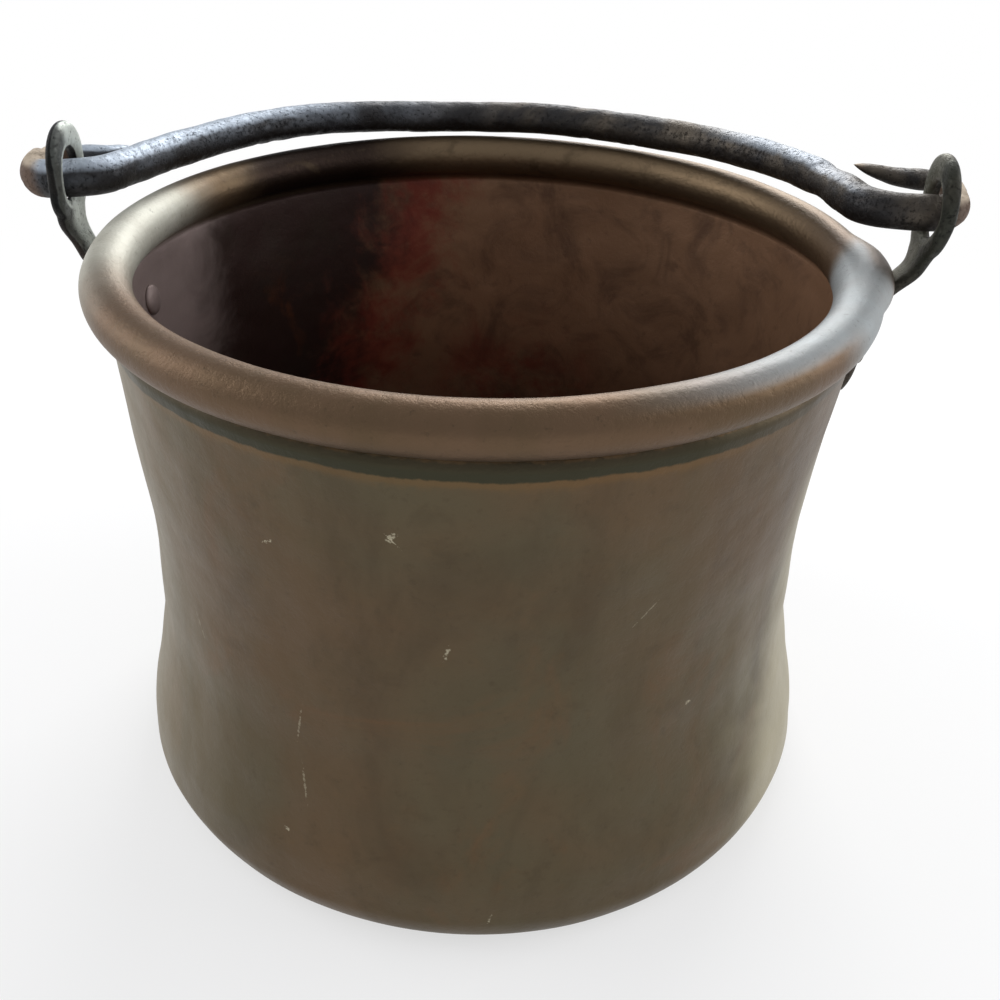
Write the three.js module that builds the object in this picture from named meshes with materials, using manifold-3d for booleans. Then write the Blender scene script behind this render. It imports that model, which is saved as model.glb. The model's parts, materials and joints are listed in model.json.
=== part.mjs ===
// Copper candy kettle with a forged iron bail, laid back over the far rim.
// Millimetres, +Z up. The origin is the centre of the flat base, where the kettle
// stands. +X runs along the bail's pivot line to the right ear, and the bail is laid
// back towards +Y. Looked at from -Y the near side of the kettle is in front.

import * as THREE from 'three';
import { mergeVertices } from 'three/addons/utils/BufferGeometryUtils.js';
import Module from 'manifold-3d';

const wasm = await Module();
wasm.setup();

// Kettle body: one sheet of copper
const sheet = 2.0;                  // thickness of the copper
const mouthRadius = 203.0;          // outside of the rolled rim
const rimHeight = 305.0;            // base to the middle of the roll
const rollRadius = 12.0;            // outside of the roll, seen in section
const neckInset = 8.5;              // outside of the wall just under the roll, in from the mouth
const upperWallRadius = 187.9;      // outside of the wall a quarter of the way down
const waistRadius = 185.8;          // narrowest outside radius, half way down
const lowerWallRadius = 194.4;      // outside of the wall low down, where it spreads
const bellyRadius = 205.5;          // widest outside radius, where the bottom corner starts
const cornerReach = 18.0;           // how far the bottom corner comes in
const cornerRise = 22.0;            // how far the bottom corner comes up
const upperWallShare = 0.25;        // how far down the wall those four radii are
const waistShare = 0.5;
const lowerWallShare = 0.78;
const lipAngle = -58;               // degrees on the roll where its edge stops, 0 is outwards
const tuckAngle = -104;             // degrees on the roll where the wall runs into it

// Hoop inside the roll
const hoopClearance = 0.5;

// Ears: forged straps with an eye, which stand off from the roll
const eyeOut = 21.8;                // mouth to the middle of an eye
const eyeLean = 1.5;                // how far the top of an eye leans back in
const leftEyeHeight = 27.5;         // middle of the roll to the pivot line, left ear
const rightEyeHeight = 35.0;        // the same at the right ear, which was set higher
const leftEyeToe = 5.5;             // degrees that the left eye is twisted out of line
const rightEyeToe = 3;              // the same at the right eye
const eyeHalfWidth = 12.0;          // pivot line to the side of the hole
const eyeTop = 17.0;                // pivot line to the top of the hole
const eyeBottom = 12.5;             // pivot line to the bottom of the hole
const earBar = 8.5;                 // iron at each side of the hole
const earCrown = 11.5;              // iron over the hole
const earThickness = 7.0;
const earTaper = 42.0;              // pivot line down to where the strap is a plain shank
const shankWidth = 15.0;
const footWidth = 22.0;
const footEndWidth = 6.6;           // foot at its rounded end
const footThickness = 5.0;
const footDrop = 60.0;              // middle of the roll down to the end of the foot
const footTop = 30.0;               // middle of the roll down to the start of the foot
const leftBendOut = 16.0;           // mouth to the left shank, where it turns upwards
const leftBendDrop = 15.0;          // middle of the roll down to that place
const leftShoulderOut = 24.0;       // mouth to the left shank, just over the roll
const leftShoulderRise = 3.0;       // middle of the roll up to that place
const rightBendOut = 4.9;           // the same four at the right shank
const rightBendDrop = 7.0;
const rightShoulderOut = 16.5;
const rightShoulderRise = 6.0;
const fitGap = 0.35;                // air between pieces that touch on the real kettle
const footEase = 0.2;               // more air behind the foot, where the strap starts to bend

// Rivets that hold the feet to the wall
const rivetDrop = 40.0;             // middle of the roll down to the rivet
const rivetShank = 8.0;             // diameter
const rivetHead = 17.0;             // diameter of the domed head inside the kettle
const rivetHeadRise = 4.5;
const rivetTail = 14.0;             // diameter of the hammered end over the foot
const rivetTailRise = 3.0;

// Bail: one forged bar with a hook at each end
const barThickness = 20.0;          // round part of the bar
const archInset = 28.8;             // middle of an eye in to the arch's own radius
const archShift = 8.0;              // middle of the arch, off towards the left ear
const archLift = 4.3;               // the left half is hammered up out of the flat by this
const archLeave = 11;               // degrees above the pivot line where the arch ends
const shoulderRadius = 21.0;        // bend between the arch and the run through the eye
const restClearance = 0.5;          // air between the laid-back bail and the rim
const eyeRunTall = 19.0;            // bar where it runs through the eyes, across the bail
const eyeRunWide = 18.0;            // the same in the plane of the bail
const hookPitch = 36.0;             // middle of the bar to the middle of the returned end
const hookTip = 12.5;               // degrees that the hooks stand out of the bail's plane
const leftHookGap = 9.5;            // air between the left ear and the bend outside it
const leftHookWall = 16.0;          // thickness of that bend, in the plane of the bail
const leftHookTall = 23.0;          // the same across it
const leftHookBend = 14.0;          // its radius at the middle of the bar
const rightHookGap = 3.0;           // the same four at the right hook
const rightHookWall = 11.0;
const rightHookTall = 15.0;
const rightHookBend = 10.0;
const tongueWide = 12.0;            // returned end where it leaves the bend
const tongueTall = 7.0;
const tipWide = 6.0;                // returned end at its tip
const tipTall = 2.2;
const leftTongueReach = 66.0;       // how far the left end comes back past its eye
const leftTongueRise = 14.0;        // how far it climbs on the way, to cross over the bar
const rightTongueReach = 37.0;
const rightTongueRise = 5.5;

// Facets of the curved surfaces
const kettleSides = 60;
const boreSides = 24;
const rivetSides = 20;
const barSides = 12;
const strapSides = 12;
const roundBar = 2.2;               // 2 is an oval section, higher ones are squarer
const hammeredBar = 3.6;
const strapSection = 4;
const weldDistance = 1e-4;          // corners closer than this are one corner

// Finishes
const finishes = {
  copper: { color: 0x6b5238, roughness: 0.45, metalness: 1.0 },
  rivetCopper: { color: 0x7a5a40, roughness: 0.5, metalness: 1.0 },
  iron: { color: 0x3c3e42, roughness: 0.6, metalness: 0.9 },
  hoopIron: { color: 0x4a4643, roughness: 0.7, metalness: 0.9 },
};

const { degToRad, lerp, smoothstep, clamp } = THREE.MathUtils;
const rollCentre = mouthRadius - rollRadius;
const neckRadius = mouthRadius - neckInset;
const eyeReach = mouthRadius + eyeOut;
const archRadius = eyeReach - archInset;
const pivotHeight = rimHeight + (leftEyeHeight + rightEyeHeight) / 2;
const pivotLean = Math.atan2(rightEyeHeight - leftEyeHeight, 2 * eyeReach);
const boreDiameter = rivetShank + 2 * fitGap;

const leftEar = {
  hand: -1,
  eyeHeight: leftEyeHeight,
  toe: leftEyeToe,
  bendOut: leftBendOut,
  bendDrop: leftBendDrop,
  shoulderOut: leftShoulderOut,
  shoulderRise: leftShoulderRise,
};
const rightEar = {
  hand: 1,
  eyeHeight: rightEyeHeight,
  toe: rightEyeToe,
  bendOut: rightBendOut,
  bendDrop: rightBendDrop,
  shoulderOut: rightShoulderOut,
  shoulderRise: rightShoulderRise,
};
const leftHook = {
  hand: -1,
  gap: leftHookGap,
  wall: leftHookWall,
  tall: leftHookTall,
  bend: leftHookBend,
  reach: leftTongueReach,
  rise: leftTongueRise,
};
const rightHook = {
  hand: 1,
  gap: rightHookGap,
  wall: rightHookWall,
  tall: rightHookTall,
  bend: rightHookBend,
  reach: rightTongueReach,
  rise: rightTongueRise,
};

// Solids: every mesh goes through the same closed-surface check
function toSolid(geometry) {
  const bare = geometry.clone();
  bare.deleteAttribute('normal');
  bare.deleteAttribute('uv');
  const joined = mergeVertices(bare, weldDistance);
  const mesh = new wasm.Mesh({
    numProp: 3,
    vertProperties: new Float32Array(joined.attributes.position.array),
    triVerts: new Uint32Array(joined.index.array),
  });
  return new wasm.Manifold(mesh);
}

function toGeometry(solid) {
  const mesh = solid.getMesh();
  const geometry = new THREE.BufferGeometry();
  geometry.setAttribute('position', new THREE.BufferAttribute(mesh.vertProperties, 3));
  geometry.setIndex(new THREE.BufferAttribute(mesh.triVerts, 1));
  geometry.computeVertexNormals();
  return geometry;
}

function makePiece(name, geometry, finish) {
  const material = new THREE.MeshStandardMaterial({ ...finishes[finish] });
  material.name = finish;
  const piece = new THREE.Mesh(geometry, material);
  piece.name = name;
  return piece;
}

// A run of rings, each with as many points, joined into one skin with a flat cap at
// each end
function skinOf(rings) {
  const ringSize = rings[0].length;
  const faces = [];
  for (let ring = 0; ring < rings.length - 1; ring += 1) {
    for (let side = 0; side < ringSize; side += 1) {
      const along = (side + 1) % ringSize;
      const a = ring * ringSize + side;
      const b = ring * ringSize + along;
      const c = b + ringSize;
      const d = a + ringSize;
      faces.push(a, b, c, a, c, d);
    }
  }
  const last = (rings.length - 1) * ringSize;
  for (let side = 1; side < ringSize - 1; side += 1) {
    faces.push(0, side + 1, side);
    faces.push(last, last + side, last + side + 1);
  }
  const geometry = new THREE.BufferGeometry().setFromPoints(rings.flat());
  geometry.setIndex(faces);
  return geometry;
}

// One cross-section: an oval for squareness 2, closer to a square bar above it
function sectionAt(centre, wideAxis, tallAxis, wide, tall, squareness, sides) {
  const ring = [];
  for (let side = 0; side < sides; side += 1) {
    const turn = (side / sides) * 2 * Math.PI;
    const across = Math.cos(turn);
    const up = Math.sin(turn);
    const power = Math.abs(across) ** squareness + Math.abs(up) ** squareness;
    const scale = power ** (-1 / squareness);
    const point = centre.clone();
    point.addScaledVector(wideAxis, across * scale * wide / 2);
    point.addScaledVector(tallAxis, up * scale * tall / 2);
    ring.push(point);
  }
  return ring;
}

// Finds the place from 0 to 1 on a curve where a rising coordinate reaches a value
function whereAt(curve, coordinate, value) {
  const halvings = 40;
  let low = 0;
  let high = 1;
  for (let step = 0; step < halvings; step += 1) {
    const middle = (low + high) / 2;
    if (curve.getPoint(middle)[coordinate] < value) {
      low = middle;
    } else {
      high = middle;
    }
  }
  return low;
}

// The wall's outside as radius (x) and height (y)
const wallStart = rimHeight - rollRadius;
const wallDrop = wallStart - cornerRise;
const wallCurve = new THREE.SplineCurve([
  new THREE.Vector2(bellyRadius, cornerRise),
  new THREE.Vector2(lowerWallRadius, wallStart - wallDrop * lowerWallShare),
  new THREE.Vector2(waistRadius, wallStart - wallDrop * waistShare),
  new THREE.Vector2(upperWallRadius, wallStart - wallDrop * upperWallShare),
  new THREE.Vector2(neckRadius, wallStart),
]);

function wallAt(height) {
  const place = whereAt(wallCurve, 'y', height);
  const tangent = wallCurve.getTangent(place);
  return {
    radius: wallCurve.getPoint(place).x,
    lean: Math.atan2(tangent.x, tangent.y),
  };
}

// The middle line of the sheet, from the centre of the base to the edge of the roll
function sheetLine() {
  const half = sheet / 2;
  const flatRadius = bellyRadius - cornerReach;
  const line = [new THREE.Vector2(0, half), new THREE.Vector2(flatRadius / 2, half)];
  const cornerSteps = 5;
  for (let step = 0; step < cornerSteps; step += 1) {
    const turn = (step / cornerSteps) * (Math.PI / 2);
    const radius = flatRadius + (cornerReach - half) * Math.sin(turn);
    const height = cornerRise - (cornerRise - half) * Math.cos(turn);
    line.push(new THREE.Vector2(radius, height));
  }
  const wallSteps = 12;
  const wallTop = wallStart - sheet * 2;
  for (let step = 0; step <= wallSteps; step += 1) {
    const height = lerp(cornerRise, wallTop, step / wallSteps);
    line.push(new THREE.Vector2(wallAt(height).radius - half, height));
  }
  const rollSteps = 14;
  const wayRound = 360 - (lipAngle - tuckAngle);
  for (let step = 0; step <= rollSteps; step += 1) {
    const turn = degToRad(tuckAngle - wayRound * (step / rollSteps));
    const radius = rollCentre + (rollRadius - half) * Math.cos(turn);
    const height = rimHeight + (rollRadius - half) * Math.sin(turn);
    line.push(new THREE.Vector2(radius, height));
  }
  return line;
}

// A line shifted sideways by half the sheet, to one side or the other
function offsetLine(line, distance) {
  const sharpest = 0.5;
  return line.map((point, index) => {
    const before = line[Math.max(index - 1, 0)];
    const after = line[Math.min(index + 1, line.length - 1)];
    const first = point.clone().sub(before);
    const second = after.clone().sub(point);
    if (index === 0) {
      first.copy(second);
    }
    if (index === line.length - 1) {
      second.copy(first);
    }
    first.normalize();
    second.normalize();
    const middle = first.clone().add(second).normalize();
    const side = new THREE.Vector2(middle.y, -middle.x);
    const stretch = 1 / Math.max(middle.dot(first), sharpest);
    return point.clone().addScaledVector(side, distance * stretch);
  });
}

// A shape turned about the kettle's axis, from points of radius and height
function turnedAboutZ(profile) {
  const shape = new THREE.LatheGeometry(profile, kettleSides);
  shape.rotateX(Math.PI / 2);
  return shape;
}

// A turned shape about the local X axis, from [distance along, radius] pairs
function turnedAlongX(pairs, sides) {
  const profile = pairs.map(([along, radius]) => new THREE.Vector2(radius, along));
  const shape = new THREE.LatheGeometry(profile, sides);
  shape.rotateZ(-Math.PI / 2);
  return shape;
}

// Where a rivet sits: local X points out of the wall, square to it
function rivetFrame(hand) {
  const wall = wallAt(rimHeight - rivetDrop);
  const frame = new THREE.Matrix4().makeRotationY(wall.lean);
  frame.setPosition(wall.radius, 0, rimHeight - rivetDrop);
  if (hand < 0) {
    frame.premultiply(new THREE.Matrix4().makeRotationZ(Math.PI));
  }
  return frame;
}

function rivetBore(hand) {
  const reach = footThickness + sheet * 4;
  const bore = turnedAlongX([
    [-reach, 0],
    [-reach, boreDiameter / 2],
    [reach, boreDiameter / 2],
    [reach, 0],
  ], boreSides);
  bore.applyMatrix4(rivetFrame(hand));
  return toSolid(bore);
}

function kettleBody() {
  const line = sheetLine();
  const outside = offsetLine(line, sheet / 2);
  const inside = offsetLine(line, -sheet / 2).reverse();
  outside[0].x = 0;
  inside[inside.length - 1].x = 0;
  const shell = toSolid(turnedAboutZ([...outside, ...inside]));
  const drilled = shell.subtract(rivetBore(leftEar.hand)).subtract(rivetBore(rightEar.hand));
  return makePiece('kettle_body', toGeometry(drilled), 'copper');
}

function rimHoop() {
  const hoopRadius = rollRadius - sheet - hoopClearance;
  const profile = [];
  const steps = 10;
  for (let step = 0; step <= steps; step += 1) {
    const turn = (step % steps) / steps * 2 * Math.PI;
    const radius = rollCentre + hoopRadius * Math.cos(turn);
    const height = rimHeight + hoopRadius * Math.sin(turn);
    profile.push(new THREE.Vector2(radius, height));
  }
  const hoop = toSolid(turnedAboutZ(profile));
  return makePiece('rim_hoop', toGeometry(hoop), 'hoopIron');
}

// The side view of an ear: flat on the wall, out past the roll and up through the eye
function earSideLine(ear) {
  const line = [];
  const footMiddle = fitGap + footEase + footThickness / 2;
  const footSteps = 12;
  for (let step = 0; step <= footSteps; step += 1) {
    const height = rimHeight - lerp(footDrop, footTop, step / footSteps);
    const wall = wallAt(height);
    const reach = wall.radius + footMiddle * Math.cos(wall.lean);
    line.push(new THREE.Vector3(reach, 0, height - footMiddle * Math.sin(wall.lean)));
  }
  const pivot = rimHeight + ear.eyeHeight;
  line.push(new THREE.Vector3(mouthRadius + ear.bendOut, 0, rimHeight - ear.bendDrop));
  line.push(new THREE.Vector3(mouthRadius + ear.shoulderOut, 0, rimHeight + ear.shoulderRise));
  line.push(new THREE.Vector3(eyeReach, 0, pivot));
  line.push(new THREE.Vector3(eyeReach - eyeLean, 0, pivot + eyeTop + earCrown));
  return new THREE.CatmullRomCurve3(line);
}

// A strap section's place and directions at a height. A smith's twist turns the eye
// about its own upright while the foot stays put.
function strapAt(curve, height, ear) {
  const where = whereAt(curve, 'z', height);
  const tangent = curve.getTangent(where);
  const pivot = rimHeight + ear.eyeHeight;
  const turn = degToRad(ear.toe) * smoothstep(height, rimHeight, pivot - eyeBottom);
  const upright = new THREE.Vector3(0, 0, 1);
  return {
    place: curve.getPoint(where),
    outward: new THREE.Vector3(tangent.z, 0, -tangent.x).applyAxisAngle(upright, turn),
    across: new THREE.Vector3(0, 1, 0).applyAxisAngle(upright, turn),
  };
}

// Width of the strap: round at the end of the foot, a plain shank, then spreading to the eye
function strapWidth(height, pivot) {
  const footRun = clamp((height - rimHeight + footDrop) / (footWidth / 2), 0, 1);
  const foot = lerp(footEndWidth, footWidth, Math.sqrt(1 - (1 - footRun) ** 2));
  const above = smoothstep(height, rimHeight - footTop, rimHeight);
  const spread = clamp((pivot - height) / earTaper, 0, 1);
  const eyeWidth = 2 * (eyeHalfWidth + earBar);
  const shank = lerp(shankWidth, eyeWidth, (1 + Math.cos(Math.PI * spread)) / 2);
  return lerp(foot, shank, above);
}

// A plug the shape of the eye's hole, through the strap
function eyePlug(ear) {
  const reach = earThickness * 2;
  const steps = 24;
  const rings = [reach, -reach].map((along) => {
    const ring = [];
    for (let step = 0; step < steps; step += 1) {
      const turn = (step / steps) * 2 * Math.PI;
      const tall = turn < Math.PI ? eyeTop : eyeBottom;
      ring.push(new THREE.Vector3(along, eyeHalfWidth * Math.cos(turn), tall * Math.sin(turn)));
    }
    return ring;
  });
  const plug = skinOf(rings.reverse());
  plug.rotateZ(degToRad(ear.toe));
  plug.translate(eyeReach, 0, rimHeight + ear.eyeHeight);
  return toSolid(plug);
}

function ear(name, shape) {
  const curve = earSideLine(shape);
  const pivot = rimHeight + shape.eyeHeight;
  const bottom = rimHeight - footDrop;
  const rings = [];
  const lowerSteps = 24;
  for (let step = 0; step <= lowerSteps; step += 1) {
    const height = lerp(bottom, pivot, step / lowerSteps);
    const at = strapAt(curve, height, shape);
    const aboveFoot = smoothstep(height, rimHeight - footTop, rimHeight);
    const thick = lerp(footThickness, earThickness, aboveFoot);
    const wide = strapWidth(height, pivot);
    rings.push(sectionAt(at.place, at.across, at.outward, wide, thick, strapSection, strapSides));
  }
  const crownSteps = 8;
  const crownEnd = degToRad(86);
  for (let step = 1; step <= crownSteps; step += 1) {
    const turn = crownEnd * (step / crownSteps);
    const at = strapAt(curve, pivot + (eyeTop + earCrown) * Math.sin(turn), shape);
    const wide = strapWidth(pivot, pivot) * Math.cos(turn);
    rings.push(sectionAt(at.place, at.across, at.outward, wide, earThickness, strapSection, strapSides));
  }
  const strap = toGeometry(toSolid(skinOf(rings.reverse())).subtract(eyePlug(shape)));
  if (shape.hand < 0) {
    strap.rotateZ(Math.PI);
  }
  const drilled = toSolid(strap).subtract(rivetBore(shape.hand));
  return makePiece(name, toGeometry(drilled), 'iron');
}

// A rivet from the top of its head, inside the kettle, to its hammered end outside
function rivet(name, hand) {
  const wallFallsAway = rivetHead / 2 * Math.tan(Math.PI / kettleSides);
  const inner = -sheet - fitGap - wallFallsAway;
  const outer = footThickness + footEase + 2 * fitGap;
  const domeSteps = 4;
  const outline = [];
  for (let step = 0; step <= domeSteps; step += 1) {
    const turn = (step / domeSteps) * (Math.PI / 2);
    outline.push([inner - rivetHeadRise * Math.cos(turn), rivetHead / 2 * Math.sin(turn)]);
  }
  outline.push([inner, rivetShank / 2]);
  outline.push([outer, rivetShank / 2]);
  for (let step = domeSteps; step >= 0; step -= 1) {
    const turn = (step / domeSteps) * (Math.PI / 2);
    outline.push([outer + rivetTailRise * Math.cos(turn), rivetTail / 2 * Math.sin(turn)]);
  }
  const shape = turnedAlongX(outline, rivetSides);
  shape.applyMatrix4(rivetFrame(hand));
  return makePiece(name, toGeometry(toSolid(shape)), 'rivetCopper');
}

// A point of the arch's middle line on the flat bail, as if its hand were the right one:
// x runs along the pivot line, y from it to the top, z out of the flat
function archPoint(hand, turn) {
  const top = Math.PI / 2;
  const downTheArch = (top - turn) / (top - degToRad(archLeave));
  const lift = hand < 0 ? archLift * Math.sin(Math.PI * downTheArch) ** 2 : 0;
  const x = archRadius * Math.cos(turn) - hand * archShift;
  return new THREE.Vector3(x, archRadius * Math.sin(turn), lift);
}

function archLine(hand) {
  const steps = 18;
  const line = [];
  for (let step = 0; step <= steps; step += 1) {
    line.push(archPoint(hand, lerp(Math.PI / 2, degToRad(archLeave), step / steps)));
  }
  return line;
}

// How far the bail lies below level when the first part of its arch meets the rim
function findRestTilt() {
  const reach = rollRadius + barThickness / 2 + restClearance;
  let tilt = Math.PI / 2;
  for (const hand of [leftHook.hand, rightHook.hand]) {
    for (const point of archLine(hand)) {
      const off = Math.hypot(point.x, point.y) - rollCentre;
      if (Math.abs(off) < reach) {
        const seat = rimHeight + Math.sqrt(reach ** 2 - off ** 2);
        const room = pivotHeight + hand * point.x * Math.tan(pivotLean) + point.z - seat;
        tilt = Math.min(tilt, Math.asin(room / point.y));
      }
    }
  }
  return tilt;
}

// Straight runs joined by round bends, as a smith bends a bar over the horn
function bentLine(corners, bends, stepsPerBend) {
  const line = [corners[0].clone()];
  for (let index = 1; index < corners.length - 1; index += 1) {
    const corner = corners[index];
    const toBefore = corners[index - 1].clone().sub(corner).normalize();
    const toAfter = corners[index + 1].clone().sub(corner).normalize();
    const setBack = bends[index - 1] / Math.tan(toBefore.angleTo(toAfter) / 2);
    const start = corner.clone().addScaledVector(toBefore, setBack);
    const finish = corner.clone().addScaledVector(toAfter, setBack);
    const bend = new THREE.QuadraticBezierCurve3(start, corner, finish);
    line.push(...bend.getPoints(stepsPerBend));
  }
  line.push(corners[corners.length - 1].clone());
  return line;
}

const tip = degToRad(hookTip);
const hookBack = new THREE.Vector3(0, Math.cos(tip), Math.sin(tip));
const hookUp = new THREE.Vector3(0, -Math.sin(tip), Math.cos(tip));

// Middle line of a hook, from the end of the arch through the eye and back to the tip
function hookLine(hook, archEnd) {
  const leave = degToRad(archLeave);
  const bendReach = eyeReach + earThickness / 2 + hook.gap + hook.wall / 2;
  const shoulder = new THREE.Vector3(archRadius / Math.cos(leave) - hook.hand * archShift, 0, 0);
  const outerLow = new THREE.Vector3(bendReach, 0, 0);
  const outerHigh = outerLow.clone().addScaledVector(hookBack, hookPitch);
  const end = outerHigh.clone().setX(eyeReach - hook.reach).addScaledVector(hookUp, hook.rise);
  const corners = [archEnd, shoulder, outerLow, outerHigh, end];
  const bendSteps = 6;
  const line = bentLine(corners, [shoulderRadius, hook.bend, hook.bend], bendSteps);
  const tongue = line.pop();
  const bendEnd = line[line.length - 1];
  const tongueSteps = 6;
  for (let step = 1; step <= tongueSteps; step += 1) {
    line.push(bendEnd.clone().lerp(tongue, step / tongueSteps));
  }
  return line.slice(1);
}

// Size of the bar along one half: round in the arch, hammered square through the eye,
// thick in the bend and drawn out to the tip of the hook
function barSize(point, hook, tipX, pastBend) {
  const eyeOuter = eyeReach + earThickness / 2;
  const bendReach = eyeOuter + hook.gap;
  if (pastBend) {
    const left = clamp((point.x - tipX) / (bendReach - tipX), 0, 1);
    const inBend = clamp((point.x - bendReach) / hook.wall, 0, 1);
    const drawnWide = lerp(tipWide, tongueWide, left);
    const drawnTall = lerp(tipTall, tongueTall, left);
    return {
      wide: lerp(drawnWide, hook.wall, inBend),
      tall: lerp(drawnTall, hook.tall, inBend),
      squareness: strapSection,
      inHook: 1,
    };
  }
  const flat = smoothstep(point.x, eyeReach - 2 * archInset, eyeReach - archInset / 2);
  const swell = smoothstep(point.x, eyeOuter, bendReach + hook.wall / 2);
  return {
    wide: lerp(lerp(barThickness, eyeRunWide, flat), hook.wall, swell),
    tall: lerp(lerp(barThickness, eyeRunTall, flat), hook.tall, swell),
    squareness: lerp(roundBar, hammeredBar, flat),
    inHook: smoothstep(point.x, eyeOuter, bendReach + hook.wall / 2),
  };
}

function halfBail(hook) {
  const arch = archLine(hook.hand);
  const points = [...arch, ...hookLine(hook, arch[arch.length - 1])];
  const tipX = points[points.length - 1].x;
  let pastBend = false;
  return points.map((point) => {
    pastBend = pastBend || (point.x > eyeReach && point.y > hookPitch / 2);
    return { point, ...barSize(point, hook, tipX, pastBend) };
  });
}

function bail() {
  const left = halfBail(leftHook);
  const right = halfBail(rightHook);
  left.forEach(({ point }) => point.setX(-point.x));
  const stations = [...left.slice(1).reverse(), ...right];
  const flatUp = new THREE.Vector3(0, 0, 1);
  const rings = stations.map(({ point, wide, tall, squareness, inHook }, index) => {
    const before = stations[Math.max(index - 1, 0)].point;
    const after = stations[Math.min(index + 1, stations.length - 1)].point;
    const run = after.clone().sub(before).normalize();
    const tallAxis = flatUp.clone().lerp(hookUp, inHook);
    tallAxis.addScaledVector(run, -tallAxis.dot(run)).normalize();
    const wideAxis = tallAxis.clone().cross(run).normalize();
    return sectionAt(point, wideAxis, tallAxis, wide, tall, squareness, barSides);
  });
  const shape = skinOf(rings);
  shape.rotateX(-findRestTilt());
  shape.rotateY(-pivotLean);
  shape.translate(0, 0, pivotHeight);
  return makePiece('bail', toGeometry(toSolid(shape)), 'iron');
}

const kettle = new THREE.Group();
kettle.name = 'copper_candy_kettle';
kettle.add(kettleBody());
kettle.add(rimHoop());
kettle.add(ear('left_ear', leftEar));
kettle.add(ear('right_ear', rightEar));
kettle.add(rivet('left_rivet', leftEar.hand));
kettle.add(rivet('right_rivet', rightEar.hand));
kettle.add(bail());

export default kettle;
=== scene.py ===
"""Dresses the copper candy kettle: hammered copper body, forged iron ears and hooked bail.

Lengths are in metres, in the frame of the solids: the origin is the middle of the
base, +Z is up, +X runs along the pivot line to the right ear and +Y is the side that
the bail is laid back over.
"""

import json
import logging
import math
from dataclasses import dataclass, field
from enum import Enum
from typing import Callable, Iterable, Sequence

import bmesh
import bpy
import numpy as np
from mathutils import Matrix, Vector, noise


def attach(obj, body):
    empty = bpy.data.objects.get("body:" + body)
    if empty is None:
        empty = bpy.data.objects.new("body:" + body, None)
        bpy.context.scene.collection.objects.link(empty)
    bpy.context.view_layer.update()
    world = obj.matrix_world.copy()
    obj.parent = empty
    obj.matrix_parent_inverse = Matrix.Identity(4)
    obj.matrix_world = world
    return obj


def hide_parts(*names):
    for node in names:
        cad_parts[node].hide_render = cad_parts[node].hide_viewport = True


MM = 0.001
LOG = logging.getLogger("kettle")

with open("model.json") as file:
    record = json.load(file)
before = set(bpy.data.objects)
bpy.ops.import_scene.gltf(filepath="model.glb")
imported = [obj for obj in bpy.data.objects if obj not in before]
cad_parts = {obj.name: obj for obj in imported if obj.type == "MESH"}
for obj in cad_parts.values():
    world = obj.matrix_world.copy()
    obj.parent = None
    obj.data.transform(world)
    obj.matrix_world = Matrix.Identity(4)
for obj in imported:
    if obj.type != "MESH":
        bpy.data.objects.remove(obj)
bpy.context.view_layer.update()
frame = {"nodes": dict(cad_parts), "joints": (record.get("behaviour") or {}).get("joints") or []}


class Hand(Enum):
    """The two ends of the pivot line, as the sign of X."""

    LEFT = -1
    RIGHT = 1


class Coat(Enum):
    """Which iron finish a forged piece gets."""

    BAIL = "bail_iron"
    EAR = "ear_iron"


Colour = tuple[float, float, float]


def srgb(red: int, green: int, blue: int) -> Colour:
    """Turns a colour as a screen shows it into the linear one that a shader takes.

    Args:
        red: 0 to 255.
        green: 0 to 255.
        blue: 0 to 255.

    Returns:
        The linear colour.
    """
    linear = []
    for part in (red, green, blue):
        share = part / 255
        low = share <= 0.04045
        linear.append(share / 12.92 if low else ((share + 0.055) / 1.055) ** 2.4)
    return (linear[0], linear[1], linear[2])


def smooth(value: float, low: float, high: float) -> float:
    """Rises smoothly from 0 at low to 1 at high.

    Args:
        value: where to read the step.
        low: where it starts.
        high: where it ends.

    Returns:
        A share from 0 to 1.
    """
    share = min(max((value - low) / (high - low), 0.0), 1.0)
    return share * share * (3 - 2 * share)


def mix(first: float, second: float, share: float) -> float:
    """Goes from first to second by a share of the way."""
    return first + (second - first) * share


# Shader tools


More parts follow.
